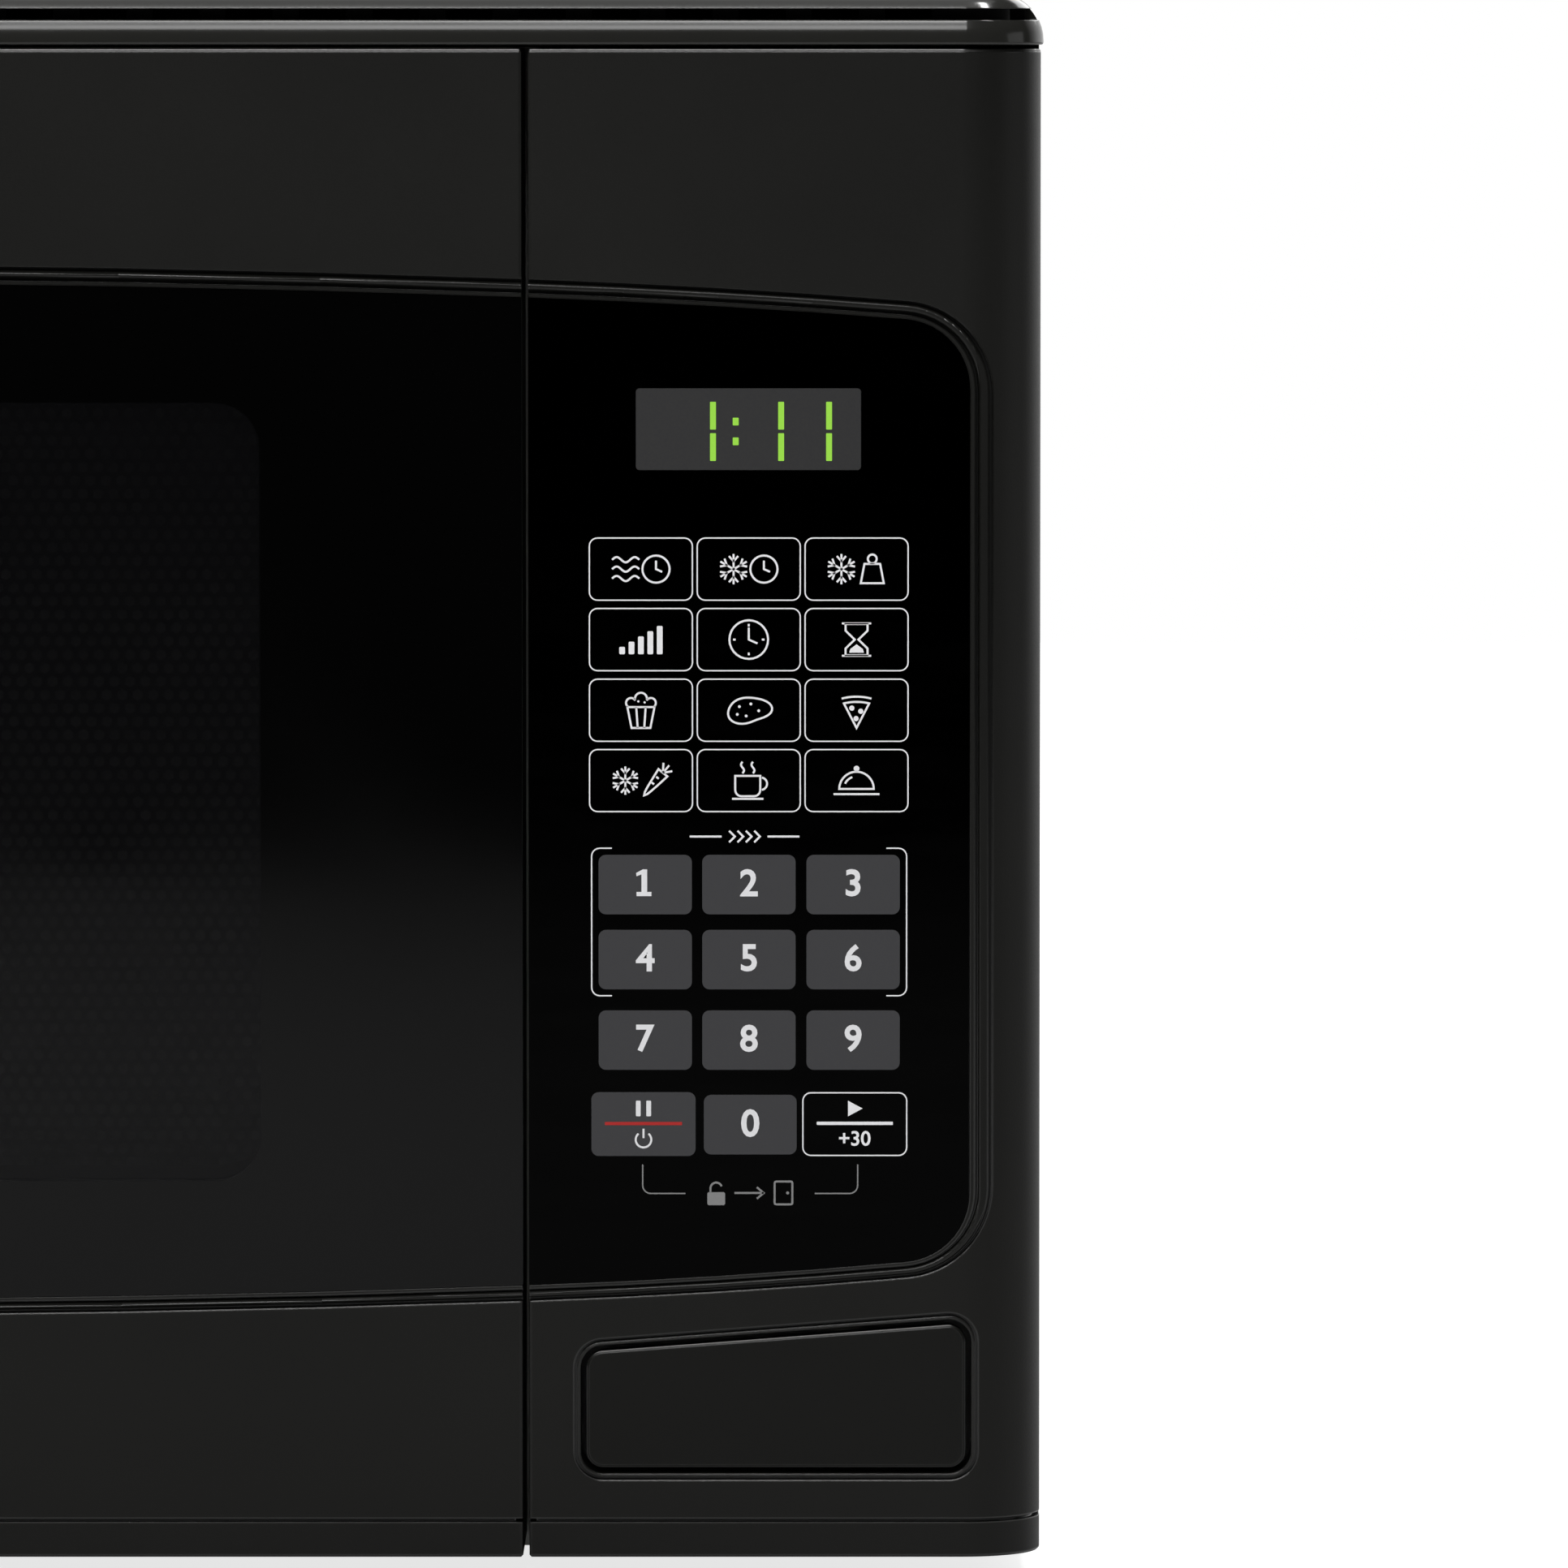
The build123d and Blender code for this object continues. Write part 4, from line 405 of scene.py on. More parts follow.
finishes = {
    "grilleGloss": grilleFinish("grilleGloss", (33, 33, 31), grilleLow, grilleHigh),
    "frontPlastic": grainedFinish("frontPlastic", (18, 18, 16), 0.42, edge=0.12 * mm, slope=0.5, haze=0.015,
                                  polish=0.3, coat=1.0, Specular_IOR_Level=0.25),
    "buttonPlastic": grainedFinish("buttonPlastic", (14, 14, 12), 0.4, edge=0.12 * mm, haze=0.015,
                                   polish=0.26, coat=0.7, Specular_IOR_Level=0.22),
    "overlayGloss": glossFinish("overlayGloss", (0, 0, 0), 0.1, 0.05),
    "keyMatrix": grainedFinish("keyMatrix", (48, 48, 54), 0.4, grain=0.8 * mm),
    "lensSmoke": lensFinish("lensSmoke"),
    "innerPlastic": grainedFinish("innerPlastic", (30, 30, 30), 0.5),
    "switchPlastic": grainedFinish("switchPlastic", (22, 22, 22), 0.42),
    "boardGreen": boardFinish("boardGreen", "Y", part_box("control_board")[0].y),
    "filterGreen": boardFinish("filterGreen", "Z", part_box("filter_board")[0].z + board["filterRise"]),
    "springSteel": platedFinish("springSteel", (170, 172, 176), 0.25, spangle=3 * mm),
    "doorGlass": doorGlassFinish("doorGlass", windowLow, windowHigh, window["corner"]),
    "screenSteel": grainedFinish("screenSteel", (20, 20, 20), 0.4),
    "clearFilm": filmFinish("clearFilm"),
    "cavityEnamel": enamelFinish("cavityEnamel", (184, 184, 180)),
    # the plate's tab behind the grille is painted near black as shade
    "plateEnamel": enamelFinish("plateEnamel", (184, 184, 180), paintedShadeAbove=grilleLow.z - 0.5 * mm),
    "latchPlastic": grainedFinish("latchPlastic", (196, 196, 188), 0.4),
    "platedSteel": platedFinish("platedSteel", (178, 180, 182)),
    "cabinetPaint": grainedFinish("cabinetPaint", (23, 23, 23), 0.46, grain=0.7 * mm, depth=0.06 * mm,
                                  cloud=0.05, haze=0.008, polish=0.12, Specular_IOR_Level=0.35),
    "footRubber": grainedFinish("footRubber", (20, 20, 20), 0.8, grain=0.5 * mm, depth=0.06 * mm),
    "mica": grainedFinish("mica", (190, 176, 146), 0.4, grain=2.2 * mm, depth=0.08 * mm, cloud=0.3),
    "trayGlass": trayGlassFinish("trayGlass", (trayLow + trayHigh) / 2),
    "whitePlastic": grainedFinish("whitePlastic", (214, 214, 208), 0.38),
    "coreSteel": coreFinish("coreSteel", *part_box("transformer")),
    "canAluminium": platedFinish("canAluminium", (200, 200, 202), 0.28, spangle=20 * mm),
    "lampGlass": bulbFinish("lampGlass"),
}

nodeFinishes = {
    "grilleGloss": ["vent_grille"],
    "frontPlastic": ["control_fascia", "door_frame", "choke_cover", "rear_spacers"],
    "buttonPlastic": ["door_button"],
    "overlayGloss": ["touch_overlay"],
    "keyMatrix": ["keypad_membrane"],
    "lensSmoke": ["display_lens"],
    "innerPlastic": ["display_module", "fan_shroud", "lamp_holder", "cord_gland"],
    "switchPlastic": ["interlock_switches", "thermal_cutouts", "hv_diode"],
    "boardGreen": ["control_board"],
    "filterGreen": ["filter_board"],
    "springSteel": ["button_springs", "latch_spring"],
    "doorGlass": ["door_glass"],
    "screenSteel": ["window_screen"],
    "clearFilm": ["window_film"],
    "plateEnamel": ["front_plate"],
    "cavityEnamel": [
        "choke_panel", "cavity_floor", "cavity_ceiling",
        "cavity_left_wall", "cavity_right_wall", "cavity_rear_wall",
    ],
    "latchPlastic": ["release_lever", "latch_hooks", "lift_slide", "interlock_bracket"],
    "platedSteel": [
        "lower_hinge", "upper_hinge", "base_plate", "rear_screws", "column_screws", "hinge_screws",
        "waveguide", "magnetron", "motor_shaft", "turntable_motor", "fan_motor", "capacitor_strap",
    ],
    "cabinetPaint": ["outer_cabinet", "rear_panel"],
    "footRubber": ["feet"],
    "mica": ["mica_cover"],
    "trayGlass": ["turntable_tray"],
    "whitePlastic": ["drive_hub", "roller_ring", "roller_1", "roller_2", "roller_3", "fan_blades"],
    "coreSteel": ["transformer"],
    "canAluminium": ["hv_capacitor"],
    "lampGlass": ["oven_lamp"],
}
for finishName, members in nodeFinishes.items():
    for member in members:
        for place in nodes[member].material_slots:
            place.material = finishes[finishName]
print("finishes on", sum(map(len, nodeFinishes.values())), "of", len(nodes), "nodes")


def addObject(name, data):
    made = bpy.data.objects.new(name, data)
    bpy.context.scene.collection.objects.link(made)
    return made


# puts a camera or a lamp at a place and turns it towards the point that it faces
def aimed(made, place, aim):
    made.location = place
    made.rotation_mode = "QUATERNION"
    made.rotation_quaternion = (Vector(aim) - Vector(place)).to_track_quat("-Z", "Y")
    return made


camera = {"x": 0.2072, "aimZ": 0.1558, "front": -0.195, "height": 0.305, "distance": 2.4, "span": 0.2995}


# a lens that shows the span, at the distance of the front
def makeCamera():
    data = bpy.data.cameras.new("camera")
    data.sensor_width = 36
    data.lens = data.sensor_width * camera["distance"] / camera["span"]
    data.clip_end = 50
    place = (camera["x"], camera["front"] - camera["distance"], camera["height"])
    aim = (camera["x"], camera["front"], camera["aimZ"])
    bpy.context.scene.camera = aimed(addObject("camera", data), place, aim)


# grey is its paint, and lift the light added for the camera at the two distances of liftAt
floor = {
    "left": -2.4, "right": 2.4, "front": -2.2, "back": 3.4, "grey": 0.42,
    "lift": (0.78, 1.1), "liftAt": (0.5, 1.2),
}


# a pale table top: plain diffuse, lifted to white for the camera where no shadow falls, clear from below
def makeFloor():
    mesh = bpy.data.meshes.new("floor")
    corners = [(floor[x], floor[y], 0) for x, y in
               (("left", "front"), ("right", "front"), ("right", "back"), ("left", "back"))]
    mesh.from_pydata(corners, [], [(0, 1, 2, 3)])
    made = addObject("floor", mesh)
    material = bpy.data.materials.new("floorPaint")
    material.use_nodes = True
    tree = material.node_tree
    tree.nodes.clear()
    paint = add(tree, "BsdfDiffuse", Color=(floor["grey"],) * 3 + (1,)).outputs[0]
    away = vectorCalc(tree, "LENGTH", objectPlace(tree))
    level = spread(tree, away, *floor["lift"], *floor["liftAt"])
    seen = add(tree, "LightPath").outputs["Is Camera Ray"]
    lift = add(tree, "Emission", Strength=calc(tree, "MULTIPLY", seen, level)).outputs[0]
    both, sides = add(tree, "AddShader"), add(tree, "MixShader")
    facing = add(tree, "NewGeometry").outputs["Backfacing"]
    clear = add(tree, "BsdfTransparent").outputs[0]
    out = add(tree, "OutputMaterial")
    tree.links.new(paint, both.inputs[0])
    tree.links.new(lift, both.inputs[1])
    for place, source in enumerate((facing, both.outputs[0], clear)):
        tree.links.new(source, sides.inputs[place])
    tree.links.new(sides.outputs[0], out.inputs["Surface"])
    mesh.materials.append(material)


# how bright gloss finds the studio behind, low down and overhead, and the even grey of the fill
studio = {
    "behind": (0.3, 0.7), "low": (0.35, 0.7), "overhead": 0.07, "overheadFrom": (0.4, 0.8), "fill": 0.45,
}


# white for the camera; for gloss white low down behind, dim overhead and dark in front; even grey as fill
def makeWorld():
    world = bpy.data.worlds.new("studio")
    bpy.context.scene.world = world
    world.use_nodes = True
    tree = world.node_tree
    tree.nodes.clear()
    rays = add(tree, "LightPath").outputs
    toward = add(tree, "SeparateXYZ", Vector=add(tree, "TexCoord").outputs["Generated"]).outputs
    behind = spread(tree, toward["Y"], 0.0, 1.0, *studio["behind"])
    low = spread(tree, toward["Z"], 1.0, 0.0, *studio["low"])
    above = spread(tree, toward["Z"], 0.0, studio["overhead"], *studio["overheadFrom"])
    mirrored = calc(tree, "MAXIMUM", calc(tree, "MULTIPLY", behind, low), above)
    seen = calc(tree, "MAXIMUM", rays["Is Camera Ray"], rays["Is Transmission Ray"])
    strength = calc(tree, "MULTIPLY", rays["Is Glossy Ray"], mirrored)
    fill = calc(tree, "MULTIPLY", calc(tree, "SUBTRACT", 1.0, rays["Is Glossy Ray"]), studio["fill"])
    level = calc(tree, "MAXIMUM", seen, calc(tree, "ADD", strength, fill))
    sky = add(tree, "Background", Color=(1, 1, 1, 1), Strength=level)
    out = add(tree, "OutputWorld")
    tree.links.new(sky.outputs[0], out.inputs["Surface"])


# a soft box: its place, the point it faces, its width and height, and how bright its face is
def softBox(name, place, aim, size, brightness):
    data = bpy.data.lights.new(name, "AREA")
    data.shape = "RECTANGLE"
    data.size, data.size_y = size
    data.energy = 4 * size[0] * size[1] * brightness
    aimed(addObject(name, data), place, aim).visible_camera = False


ovenMiddle = (0, 0, 0.15)
lamps = {
    "frontTop": ((-0.25, -1.5, 1.62), (-0.1, -0.19, 0.3), (1.4, 0.35), 9),
    "frontMid": ((-0.25, -1.7, 1.25), (-0.1, -0.19, 0.2), (1.4, 0.26), 5),
    "topStrip": ((-0.45, -0.19, 1.7), (-0.45, -0.19, 0.3), (1.5, 0.1), 9),
    "streak": ((0.62, -0.03, 1.6), (0.24, -0.19, 0.3), (0.5, 0.14), 26),
    "overhead": ((0, 0.3, 2.1), (0, 0, 0.1), (1.8, 1.2), 0.5),
    "right": ((2.1, -0.5, 0.45), ovenMiddle, (1.0, 0.7), 0.45),
    "left": ((-2.1, -0.5, 1.0), ovenMiddle, (1.2, 1.2), 1.3),
    "backRight": ((1.2, 1.9, 1.3), ovenMiddle, (1.2, 1.0), 1.8),
    "backLeft": ((-1.2, 1.9, 1.3), ovenMiddle, (1.2, 1.0), 1.8),
}
makeCamera()
makeFloor()
makeWorld()
for lampName, lamp in lamps.items():
    softBox(lampName, *lamp)
bpy.context.scene.view_settings.view_transform = "Standard"
print("stage")


# puts points and faces into an object that rides on a body; closed shells get outward normals
def makePiece(name, points, faces, material, body, outward=True):
    mesh = bpy.data.meshes.new(name)
    mesh.from_pydata(points.tolist(), [], faces)
    if outward:
        work = bmesh.new()
        work.from_mesh(mesh)
        bmesh.ops.recalc_face_normals(work, faces=work.faces)
        work.to_mesh(mesh)
        work.free()
    mesh.update()
    mesh.materials.append(material)
    made = addObject(name, mesh)
    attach(made, body)
    return made


# joins (points, faces) into one
def joined(shapes):
    points, faces, start = [], [], 0
    for some, theirs in shapes:
        points.append(some)
        faces += [tuple(start + k for k in face) for face in theirs]
        start += len(some)
    return np.concatenate(points), faces


# a flat ribbon: at each point of a path in X and Z, half the width to each side along the mitre,
# m = (n1 + n2) / |n1 + n2| divided by m . n1, where n1 and n2 are the normals of the runs that meet
def ribbon(path, width, front, back, closed=False):
    path = np.asarray(path, float)
    runs = np.roll(path, -1, 0) - path
    runs /= np.linalg.norm(runs, axis=1, keepdims=True) + 1e-12
    normals = np.stack([-runs[:, 1], runs[:, 0]], 1)
    if not closed:
        normals[-1] = normals[-2]
    before = np.roll(normals, 1, 0)
    if not closed:
        before[0] = normals[0]
    mitre = before + normals
    mitre /= np.linalg.norm(mitre, axis=1, keepdims=True) + 1e-12
    reach = width / 2 / np.maximum((mitre * before).sum(1, keepdims=True), 0.35)   # no spikes at sharp turns
    left, right = path + mitre * reach, path - mitre * reach
    count = len(path)
    rows = [(side[:, 0], np.full(count, y), side[:, 1]) for side, y in
            ((left, front), (right, front), (right, back), (left, back))]
    points = np.stack([np.stack(row, 1) for row in rows], 1).reshape(-1, 3)
    faces = []
    for k in range(count if closed else count - 1):
        a, b = 4 * k, 4 * ((k + 1) % count)
        faces += [(a + j, a + (j + 1) % 4, b + (j + 1) % 4, b + j) for j in range(4)]
    if not closed:
        faces += [(0, 1, 2, 3), (4 * count - 1, 4 * count - 2, 4 * count - 3, 4 * count - 4)]
    return points, faces


# a flat plate: the same closed outline at two depths, with walls between
def plate(outline, front, back):
    outline = np.asarray(outline, float)
    count = len(outline)
    rows = [np.stack([outline[:, 0], np.full(count, y), outline[:, 1]], 1) for y in (front, back)]
    walls = [(k, (k + 1) % count, count + (k + 1) % count, count + k) for k in range(count)]
    return np.concatenate(rows), walls + [tuple(range(count)), tuple(range(2 * count - 1, count - 1, -1))]


# points on an arc: centre plus radius times (cos a, sin a), angles in degrees
def arc(x, z, radius, start, end, steps=14):
    angle = np.radians(np.linspace(start, end, steps))
    return np.stack([x + radius * np.cos(angle), z + radius * np.sin(angle)], 1)


# the same all the way round, without the last point, which is the first again
def ring(x, z, radius, steps=28):
    return arc(x, z, radius, 0, 360, steps + 1)[:-1]


# a rectangle about its middle, with an arc for each of its four corners
def roundedBox(x, z, width, height, corner, steps=7):
    spots = [(1, 1, 0), (-1, 1, 90), (-1, -1, 180), (1, -1, 270)]
    parts = [arc(x + sx * (width / 2 - corner), z + sz * (height / 2 - corner), corner, a, a + 90, steps)
             for sx, sz, a in spots]
    return np.concatenate(parts)


# ink stands a little proud of the sheet and goes into it, and what is printed on a pad stands on the pad
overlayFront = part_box("touch_overlay")[0].y / mm
ink = {"lift": 0.02, "sink": 0.01, "thick": 0.04, "line": 0.25, "stroke": 0.38}
onSheet = (overlayFront - ink["lift"], overlayFront + ink["sink"])
onPad = (overlayFront - ink["lift"] - ink["thick"], overlayFront - ink["lift"])

# the panel's marks in millimetres, where a key's or a pad's place is its middle
keys = {
    "columns": (179.83, 200.46, 221.08), "rows": (196.94, 183.45, 169.92, 156.43),
    "box": {"width": 19.7, "height": 11.9, "corner": 1.55},
}
pads = {
    "columns": (180.62, 200.48, 220.44), "rows": (136.48, 122.07, 106.6),
    "box": {"width": 17.87, "height": 11.42, "corner": 1.4},
}
pausePad = {"x": 180.26, "z": 90.45, "width": 19.96, "height": 12.28, "corner": 1.4}
zeroPad = {"x": 200.73, "z": 90.34, "width": 17.78, "height": 11.47, "corner": 1.4}
startPad = {"x": 220.77, "z": 90.44, "width": 19.9, "height": 12.06, "corner": 1.55}
brackets = {"left": 170.36, "right": 230.68, "top": 143.46, "bottom": 115.13, "stub": 3.88, "corner": 1.55}
unlock = {
    "left": 180.1, "right": 221.33, "innerLeft": 188.3, "innerRight": 213.1, "top": 82.67, "bottom": 77.09,
    "corner": 1.55,
}
expressLabel = {"x": 199.65, "z": 145.7}
digits = {
    "height": 5.25, "rise": 0.35, "weight": 0.022, "oneShift": -0.25, "zeroHeight": 5.4, "zeroRise": 0.3,
}
plus = {"height": 2.9, "drop": 2.75, "weight": 0.015, "playRise": 3.0}
startBar, pauseBar = {"width": 14.6, "rise": 0.15}, {"width": 14.8, "rise": 0.1}
flake = {"root": 0.52, "tip": 0.86, "twig": 0.3}                      # as shares of an arm's length


# six arms, drawn as three lines through the middle, with a pair of twigs on each
def snowflake(x, z, size):
    middle = np.array([x, z])
    angles = np.radians(90 + 60 * np.arange(6))
    along = np.stack([np.cos(angles), np.sin(angles)], 1) * size
    side = np.stack([-along[:, 1], along[:, 0]], 1) * flake["twig"]
    arms = [np.array([middle - arm, middle + arm]) for arm in along[:3]]
    roots, tips = middle + along * flake["root"], middle + along * flake["tip"]
    return arms + [np.array([tip + s, root, tip - s]) for root, tip, s in zip(roots, tips, side)]


# height times the sine of so many turns over a length, which lies along X or stands up
def wave(x, z, length, height, turns, upright=False):
    t = np.linspace(0, 1, 25)
    along, across = (t - 0.5) * length, height * np.sin(2 * np.pi * turns * t)
    return np.stack([x + across, z + along], 1) if upright else np.stack([x + along, z + across], 1)


# a clock's rim and its two hands
def clockFace(x, z, radius):
    hands = np.array([[x, z + radius * 0.62], [x, z], [x + radius * 0.45, z - radius * 0.2]])
    return [ring(x, z, radius)], [hands]


double = {"x": 2.9, "clock": 2.6, "flake": 2.9}                       # two signs beside one another


# each icon is (closed lines, open lines, filled shapes), in millimetres about the key's middle
def iconTimeCook():
    loops, strokes = clockFace(double["x"], 0, double["clock"])
    return loops, strokes + [wave(-double["x"], k * 1.8, 5.2, 0.5, 1.5) for k in (-1, 0, 1)], []


def iconTimeDefrost():
    loops, strokes = clockFace(double["x"], 0, double["clock"])
    return loops, strokes + snowflake(-double["x"], 0, double["flake"]), []


def iconWeightDefrost():
    weight = np.array([[0.8, -2.7], [5.2, -2.7], [4.5, 1.0], [1.5, 1.0]])
    return [weight, ring(3.0, 1.95, 0.85, 16)], snowflake(-double["x"], 0, double["flake"]), []


def iconPower():
    heights = (1.4, 2.4, 3.4, 4.4, 5.4)
    return [], [], [roundedBox(-3.6 + 1.8 * k, -2.8 + h / 2, 1.1, h, 0.2, 3) for k, h in enumerate(heights)]


def iconClock():
    ways = np.array([[1, 0], [0, 1], [-1, 0], [0, -1]])
    ticks = [np.array([2.5 * way, 3.0 * way]) for way in ways]
    loops, strokes = clockFace(0, 0, 3.7)
    return loops, strokes + ticks, []


def iconTimer():
    glass = np.array([[-2.1, 3.0], [-2.1, 1.7], [-0.35, 0], [-2.1, -1.7], [-2.1, -3.0],
                      [2.1, -3.0], [2.1, -1.7], [0.35, 0], [2.1, 1.7], [2.1, 3.0]])
    sand = np.array([[-1.4, -2.5], [1.4, -2.5], [1.2, -1.8], [0, -0.9], [-1.2, -1.8]])
    caps = [np.array([[-2.8, z], [2.8, z]]) for z in (-3.1, 3.1)]
    return [glass], caps, [sand]


def iconPopcorn():
    cup = np.array([[-2.6, 0.6], [2.6, 0.6], [1.8, -3.4], [-1.8, -3.4]])
    stripes = [np.array([[x, 0.6], [x * 0.7, -3.4]]) for x in (-0.9, 0.9)]
    puffs = [arc(-1.9, 1.4, 0.95, 30, 230), arc(0, 2.2, 1.15, -10, 190), arc(1.9, 1.4, 0.95, -50, 150)]
    return [cup], stripes + puffs, [ring(-0.5, 1.7, 0.22, 10), ring(0.7, 1.5, 0.22, 10)]


# a lumpy oval: its radius is 3 plus a sine of twice the angle and a cosine of three times it
def iconPotato():
    angle = np.radians(np.linspace(0, 360, 41))[:-1]
    radius = 3.0 + 0.35 * np.sin(2 * angle + 0.6) + 0.22 * np.cos(3 * angle)
    skin = np.stack([1.3 * radius * np.cos(angle), 0.86 * radius * np.sin(angle)], 1)
    eyes = ((-1.8, 0.7), (0.4, 1.2), (1.9, -0.1), (-0.5, -1.1), (-2.2, -0.8))
    return [skin], [], [ring(x, z, 0.28, 10) for x, z in eyes]


def iconPizza():
    crust = arc(0, -8.4, 11.0, 75, 105, 12)
    wedge = np.concatenate([arc(0, -8.4, 10.0, 76, 104, 12), [[0.0, -3.4]]])
    toppings = [ring(x, z, 0.5, 14) for x, z in ((-0.9, 0.4), (0.8, -0.2), (-0.1, -1.6))]
    return [wedge], [crust], toppings


# a carrot beside a snowflake: half its width is 1.1 times the root of 1 - t, a little less towards the tip
def iconVegetable():
    t = np.linspace(0, 1, 12)
    half = 1.1 * np.sqrt(1 - t) * (1 - 0.15 * t)
    along, across = np.array([-0.64, -0.77]), np.array([0.77, -0.64])
    top = np.array([4.2, 1.5])
    left = top + np.outer(t * 5.6, along) - np.outer(half, across)
    right = top + np.outer(t * 5.6, along) + np.outer(half, across)
    leaves = [np.array([top, top + leaf]) for leaf in ((0.1, 1.9), (1.2, 1.4), (1.8, 0.3))]
    grooves = [np.array([top + along * k - across * 0.5, top + along * k + across * 0.1]) for k in (1.4, 2.8)]
    return [np.concatenate([left, right[::-1][1:]])], leaves + grooves + snowflake(-3.0, 0, 2.7), []


def iconCup():
    bowl = np.concatenate([[[-2.6, 0.9]], arc(-1.4, -1.8, 1.2, 180, 270, 6), arc(1.0, -1.8, 1.2, 270, 360, 6),
                           [[2.2, 0.9]]])
    handle = arc(2.3, -0.6, 1.2, 80, -80, 12)
    steam = [wave(x, 2.5, 2.2, 0.28, 1.0, True) for x in (-1.2, 0.8)]
    return [bowl], [handle, np.array([[-3.2, -3.5], [2.8, -3.5]])] + steam, []


def iconPlate():
    dome = arc(0, -1.6, 3.3, 0, 180, 24)
    shine = arc(0, -1.6, 2.4, 110, 155, 8)
    return [dome], [shine, np.array([[-4.4, -2.6], [4.4, -2.6]])], [ring(0, 2.3, 0.55, 14)]


keyIcons = (
    (iconTimeCook, iconTimeDefrost, iconWeightDefrost),
    (iconPower, iconClock, iconTimer),
    (iconPopcorn, iconPotato, iconPizza),
    (iconVegetable, iconCup, iconPlate),
)


# text as a closed shape about its own middle, turned to face the front
def letters(text, height, x, z, front, back, weight):
    curve = bpy.data.curves.new("letters", "FONT")
    curve.body = text
    curve.offset = weight
    curve.extrude = 0.5
    curve.resolution_u = 4
    carrier = addObject("letters", curve)
    bpy.context.view_layer.update()
    mesh = bpy.data.meshes.new_from_object(carrier)
    spots = np.zeros(len(mesh.vertices) * 3)
    mesh.vertices.foreach_get("co", spots)
    spots = spots.reshape(-1, 3)
    faces = [tuple(face.vertices) for face in mesh.polygons]
    low, high = spots.min(0), spots.max(0)
    scale = height / (high[1] - low[1])
    middle = (low + high) / 2
    bpy.data.objects.remove(carrier)
    bpy.data.curves.remove(curve)
    depth = np.where(spots[:, 2] > 0, front, back)
    flat = (spots - middle) * scale
    return np.stack([flat[:, 0] + x, depth, flat[:, 1] + z], 1), faces


# the digit one with a flag and a foot, 5.14 mm tall about its own middle
oneShape = np.array([
    [-1.41, -2.57], [1.44, -2.57], [1.44, -1.76], [0.62, -1.76], [0.62, 2.57], [-0.2, 2.57],
    [-1.48, 1.88], [-1.41, 1.25], [-0.47, 1.6], [-0.47, -1.76], [-1.41, -1.76],
])


# every shape of one colour in one piece
def printPiece(name, shapes, material):
    points, faces = joined(shapes)
    return makePiece(name, points * mm, faces, material, "oven")


# an icon's lines and fills as shapes about a key's middle
def iconShapes(icon, x, z, depths):
    loops, strokes, fills = ([np.asarray(path, float) + np.array([x, z]) for path in part] for part in icon)
    shapes = [ribbon(path, ink["stroke"], *depths, closed=True) for path in loops]
    shapes += [ribbon(path, ink["stroke"], *depths) for path in strokes]
    return shapes + [plate(path, *depths) for path in fills]


# a thin bar across a pad, between its sign and its label
def padBar(pad, depths, width, rise):
    return plate(roundedBox(pad["x"], pad["z"] + rise, width, 0.62, 0.1, 3), *depths)


inks = {
    "lines": inkFinish("inkWhite", (232, 232, 234)),
    "pads": inkFinish("inkGrey", (62, 62, 64)),
    "digits": inkFinish("inkDigits", (226, 226, 228)),
    "pause": inkFinish("inkRed", (172, 42, 40)),
    "unlock": inkFinish("inkDim", (132, 132, 132)),
    "clock": inkFinish("displayGreen", (152, 216, 73), glow=1.0),
}


# outlines of keys, the start pad and the brackets beside the digits, and the icons on them
def printKeys():
    boxes, icons = [], []
    for row, z in enumerate(keys["rows"]):
        for column, x in enumerate(keys["columns"]):
            boxes.append(roundedBox(x, z, **keys["box"]))
            icons += iconShapes(keyIcons[row][column](), x, z, onSheet)
    boxes.append(roundedBox(**startPad))
    lines = [ribbon(box, ink["line"], *onSheet, closed=True) for box in boxes]
    r, top, bottom = brackets["corner"], brackets["top"], brackets["bottom"]
    for x, inward, turn in ((brackets["left"], 1, (90, 180)), (brackets["right"], -1, (90, 0))):
        upperArc = arc(x + inward * r, top - r, r, *turn, 6)
        lowerArc = upperArc[::-1] * [1, -1] + [0, top + bottom]
        stub = x + inward * brackets["stub"]
        path = np.concatenate([[[stub, top]], upperArc, lowerArc, [[stub, bottom]]])
        lines.append(ribbon(path, ink["line"], *onSheet))
    printPiece("key_outlines", lines, inks["lines"])
    chevrons = [np.array([[k - 0.55, 1.1], [k + 0.55, 0], [k - 0.55, -1.1]]) for k in (-2.4, -0.8, 0.8, 2.4)]
    dashes = [np.array([[side * 4.4, 0], [side * 10.5, 0]]) for side in (-1, 1)]
    icons += iconShapes(([], chevrons + dashes, []), expressLabel["x"], expressLabel["z"], onSheet)
    play = np.array([[-1.3, 1.5], [1.5, 0], [-1.3, -1.5]])
    x, z = startPad["x"], startPad["z"]
    icons += iconShapes(([], [], [play]), x, z + plus["playRise"], onSheet)
    icons.append(padBar(startPad, onSheet, **startBar))
    icons.append(letters("+30", plus["height"], x, z - plus["drop"], *onSheet, plus["weight"]))
    printPiece("key_icons", icons, inks["lines"])
    print("key icons")


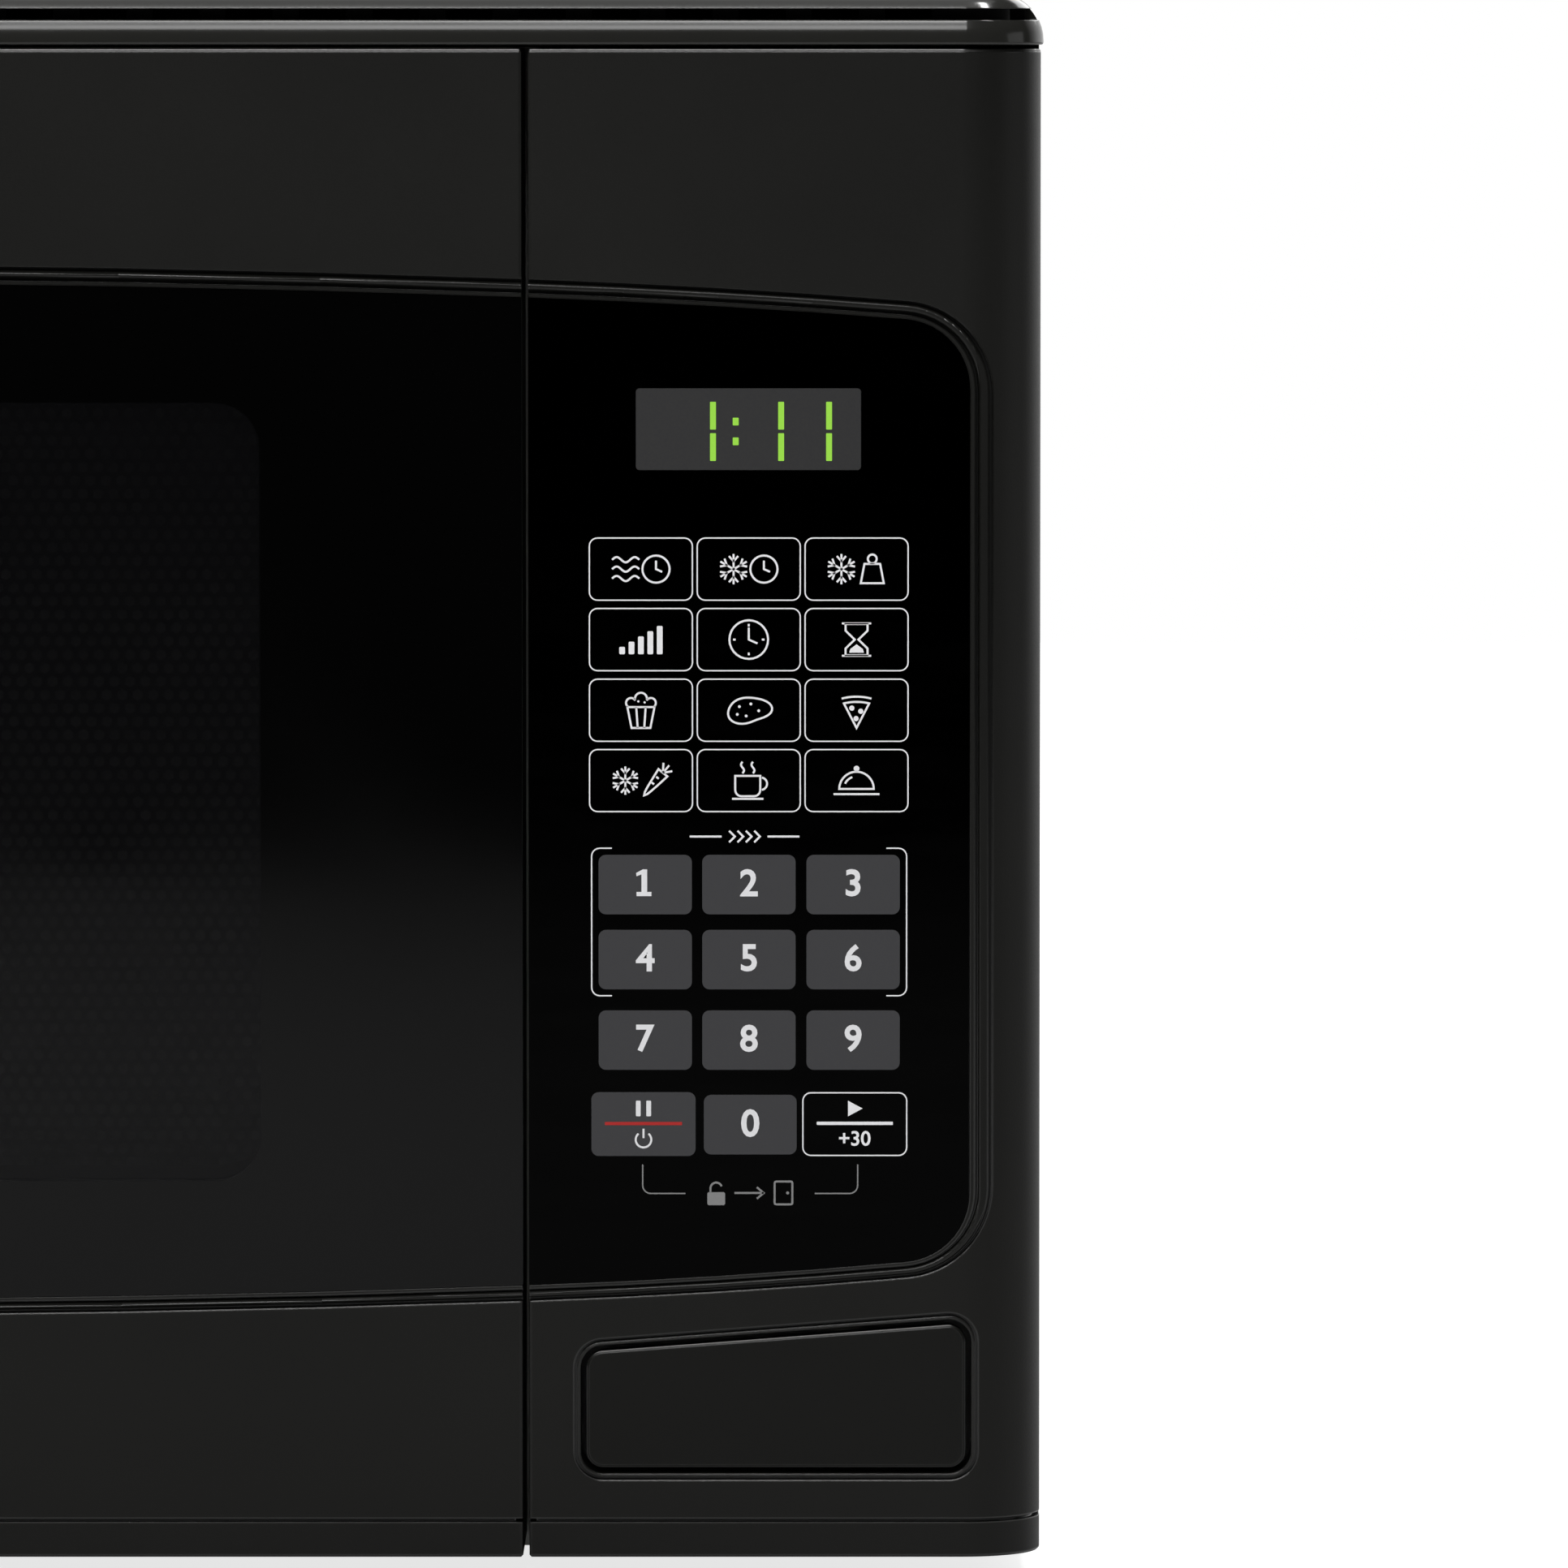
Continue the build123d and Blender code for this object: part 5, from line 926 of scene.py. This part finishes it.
# grey pads with a digit on each, and the pause pad with its signs
def printPads():
    spots = [(x, z) for z in pads["rows"] for x in pads["columns"]]
    boxes = [roundedBox(x, z, **pads["box"]) for x, z in spots]
    boxes += [roundedBox(**pausePad), roundedBox(**zeroPad)]
    printPiece("number_pads", [plate(box, *onSheet) for box in boxes], inks["pads"])
    height, rise, weight = digits["height"], digits["rise"], digits["weight"]
    marks = [plate(oneShape + [spots[0][0] + digits["oneShift"], spots[0][1] + rise], *onPad)]
    marks += [letters(str(k + 1), height, x, z + rise, *onPad, weight) for k, (x, z) in enumerate(spots) if k]
    x, z = zeroPad["x"], zeroPad["z"] + digits["zeroRise"]
    marks.append(letters("0", digits["zeroHeight"], x, z, *onPad, weight))
    pause = [roundedBox(x, 3.0, 0.9, 3.0, 0.15, 3) for x in (-1.0, 1.0)]
    off = ([], [arc(0, -3.0, 1.5, 130, 410, 20), np.array([[0, -0.9], [0, -2.7]])], pause)
    marks += iconShapes(off, pausePad["x"], pausePad["z"], onPad)
    printPiece("pad_marks", marks, inks["digits"])
    printPiece("pause_line", [padBar(pausePad, onPad, **pauseBar)], inks["pause"])


# a bracket open at the top and in the middle, with an open padlock, an arrow and a door in its gap
def printUnlock():
    r, top, bottom = unlock["corner"], unlock["top"], unlock["bottom"]
    shapes = []
    for x, inner, inward, turn in ((unlock["left"], unlock["innerLeft"], 1, (180, 270)),
                                   (unlock["right"], unlock["innerRight"], -1, (360, 270))):
        path = np.concatenate([[[x, top]], arc(x + inward * r, bottom + r, r, *turn, 6), [[inner, bottom]]])
        shapes.append(ribbon(path, ink["line"], *onSheet))
    shackle = np.concatenate([[[-7.6, 0.1]], arc(-6.5, 0.9, 1.1, 180, 20, 12)])
    door = roundedBox(6.4, 0, 3.4, 4.4, 0.3, 3)
    arrow = [np.array([[-3.0, 0], [2.6, 0]]), np.array([[1.3, 1.1], [2.6, 0], [1.3, -1.1]])]
    lock = ([door], [shackle] + arrow, [roundedBox(-6.5, -1.1, 3.4, 2.5, 0.35, 4), ring(7.2, 0, 0.3, 10)])
    shapes += iconShapes(lock, (unlock["innerLeft"] + unlock["innerRight"]) / 2, bottom + 0.1, onSheet)
    printPiece("unlock_bracket", shapes, inks["unlock"])


clock = {
    "bars": (193.63, 206.65, 215.81), "barRows": (226.28, 220.28), "bar": 5.3,
    "colon": 197.97, "dotRows": (225.16, 221.38), "dot": 1.47,
    "width": 1.13, "corner": 0.12, "lift": 0.03, "sink": 0.01,
}


# lit bars of the clock and its colon, just proud of the lens
def lightDisplay():
    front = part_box("display_lens")[0].y / mm
    spots = [(x, z, clock["bar"]) for x in clock["bars"] for z in clock["barRows"]]
    spots += [(clock["colon"], z, clock["dot"]) for z in clock["dotRows"]]
    depths = (front - clock["lift"], front + clock["sink"])
    boxes = [roundedBox(x, z, clock["width"], tall, clock["corner"], 3) for x, z, tall in spots]
    shapes = [plate(box, *depths) for box in boxes]
    printPiece("clock_bars", shapes, inks["clock"])


printKeys()
printPads()
printUnlock()
lightDisplay()
print("printed panel")


screen = {"pitch": 3.0 * mm, "hole": 1.12 * mm, "merge": 0.02 * mm}


# hexagonal cells on a staggered grid: each cell's rim is shared corners of radius pitch / sqrt 3,
# its hole six corners of the hole's radius, both faces and the hole's wall
def perforatedScreen():
    pitch, hole = screen["pitch"], screen["hole"]
    rise = pitch * math.sqrt(3) / 2
    lowX, highX, lowZ, highZ = screenLow.x, screenHigh.x, screenLow.z, screenHigh.z
    rows = int((highZ - lowZ - pitch) / rise)
    columns = int((highX - lowX - 1.5 * pitch) / pitch)
    row, column = np.meshgrid(np.arange(rows), np.arange(columns), indexing="ij")
    x = (lowX + highX) / 2 + (column - (columns - 1) / 2 + 0.5 * (row % 2) - 0.25) * pitch
    z = (lowZ + highZ) / 2 + (row - (rows - 1) / 2) * rise
    centres = np.stack([x.ravel(), z.ravel()], 1)
    angle = np.radians(30 + 60 * np.arange(6))
    spoke = np.stack([np.cos(angle), np.sin(angle)], 1)
    outer = centres[:, None] + spoke * pitch / math.sqrt(3)
    inner = centres[:, None] + spoke * hole
    flat = np.concatenate([outer, inner], 1)                          # cell, corner, X and Z
    cells = len(centres)
    front = np.concatenate([flat[..., :1], np.full((cells, 12, 1), screenLow.y), flat[..., 1:]], 2)
    back = front.copy()
    back[..., 1] = screenHigh.y
    points = np.concatenate([front, back], 1).reshape(-1, 3)
    k, n = np.arange(6), (np.arange(6) + 1) % 6
    quads = np.concatenate([
        np.stack([k, n, 6 + n, 6 + k], 1),
        np.stack([12 + n, 12 + k, 18 + k, 18 + n], 1),
        np.stack([6 + k, 6 + n, 18 + n, 18 + k], 1),
    ])
    faces = (quads[None] + 24 * np.arange(cells)[:, None, None]).reshape(-1, 4)
    made = makePiece("perforated_screen", points, faces.tolist(), finishes["screenSteel"], "door",
                     outward=False)
    work = bmesh.new()
    work.from_mesh(made.data)
    bmesh.ops.remove_doubles(work, verts=work.verts, dist=screen["merge"])
    work.to_mesh(made.data)
    work.free()
    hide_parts("window_screen")
    print("screen triangles", 2 * len(made.data.polygons))


perforatedScreen()

print("pieces ready")
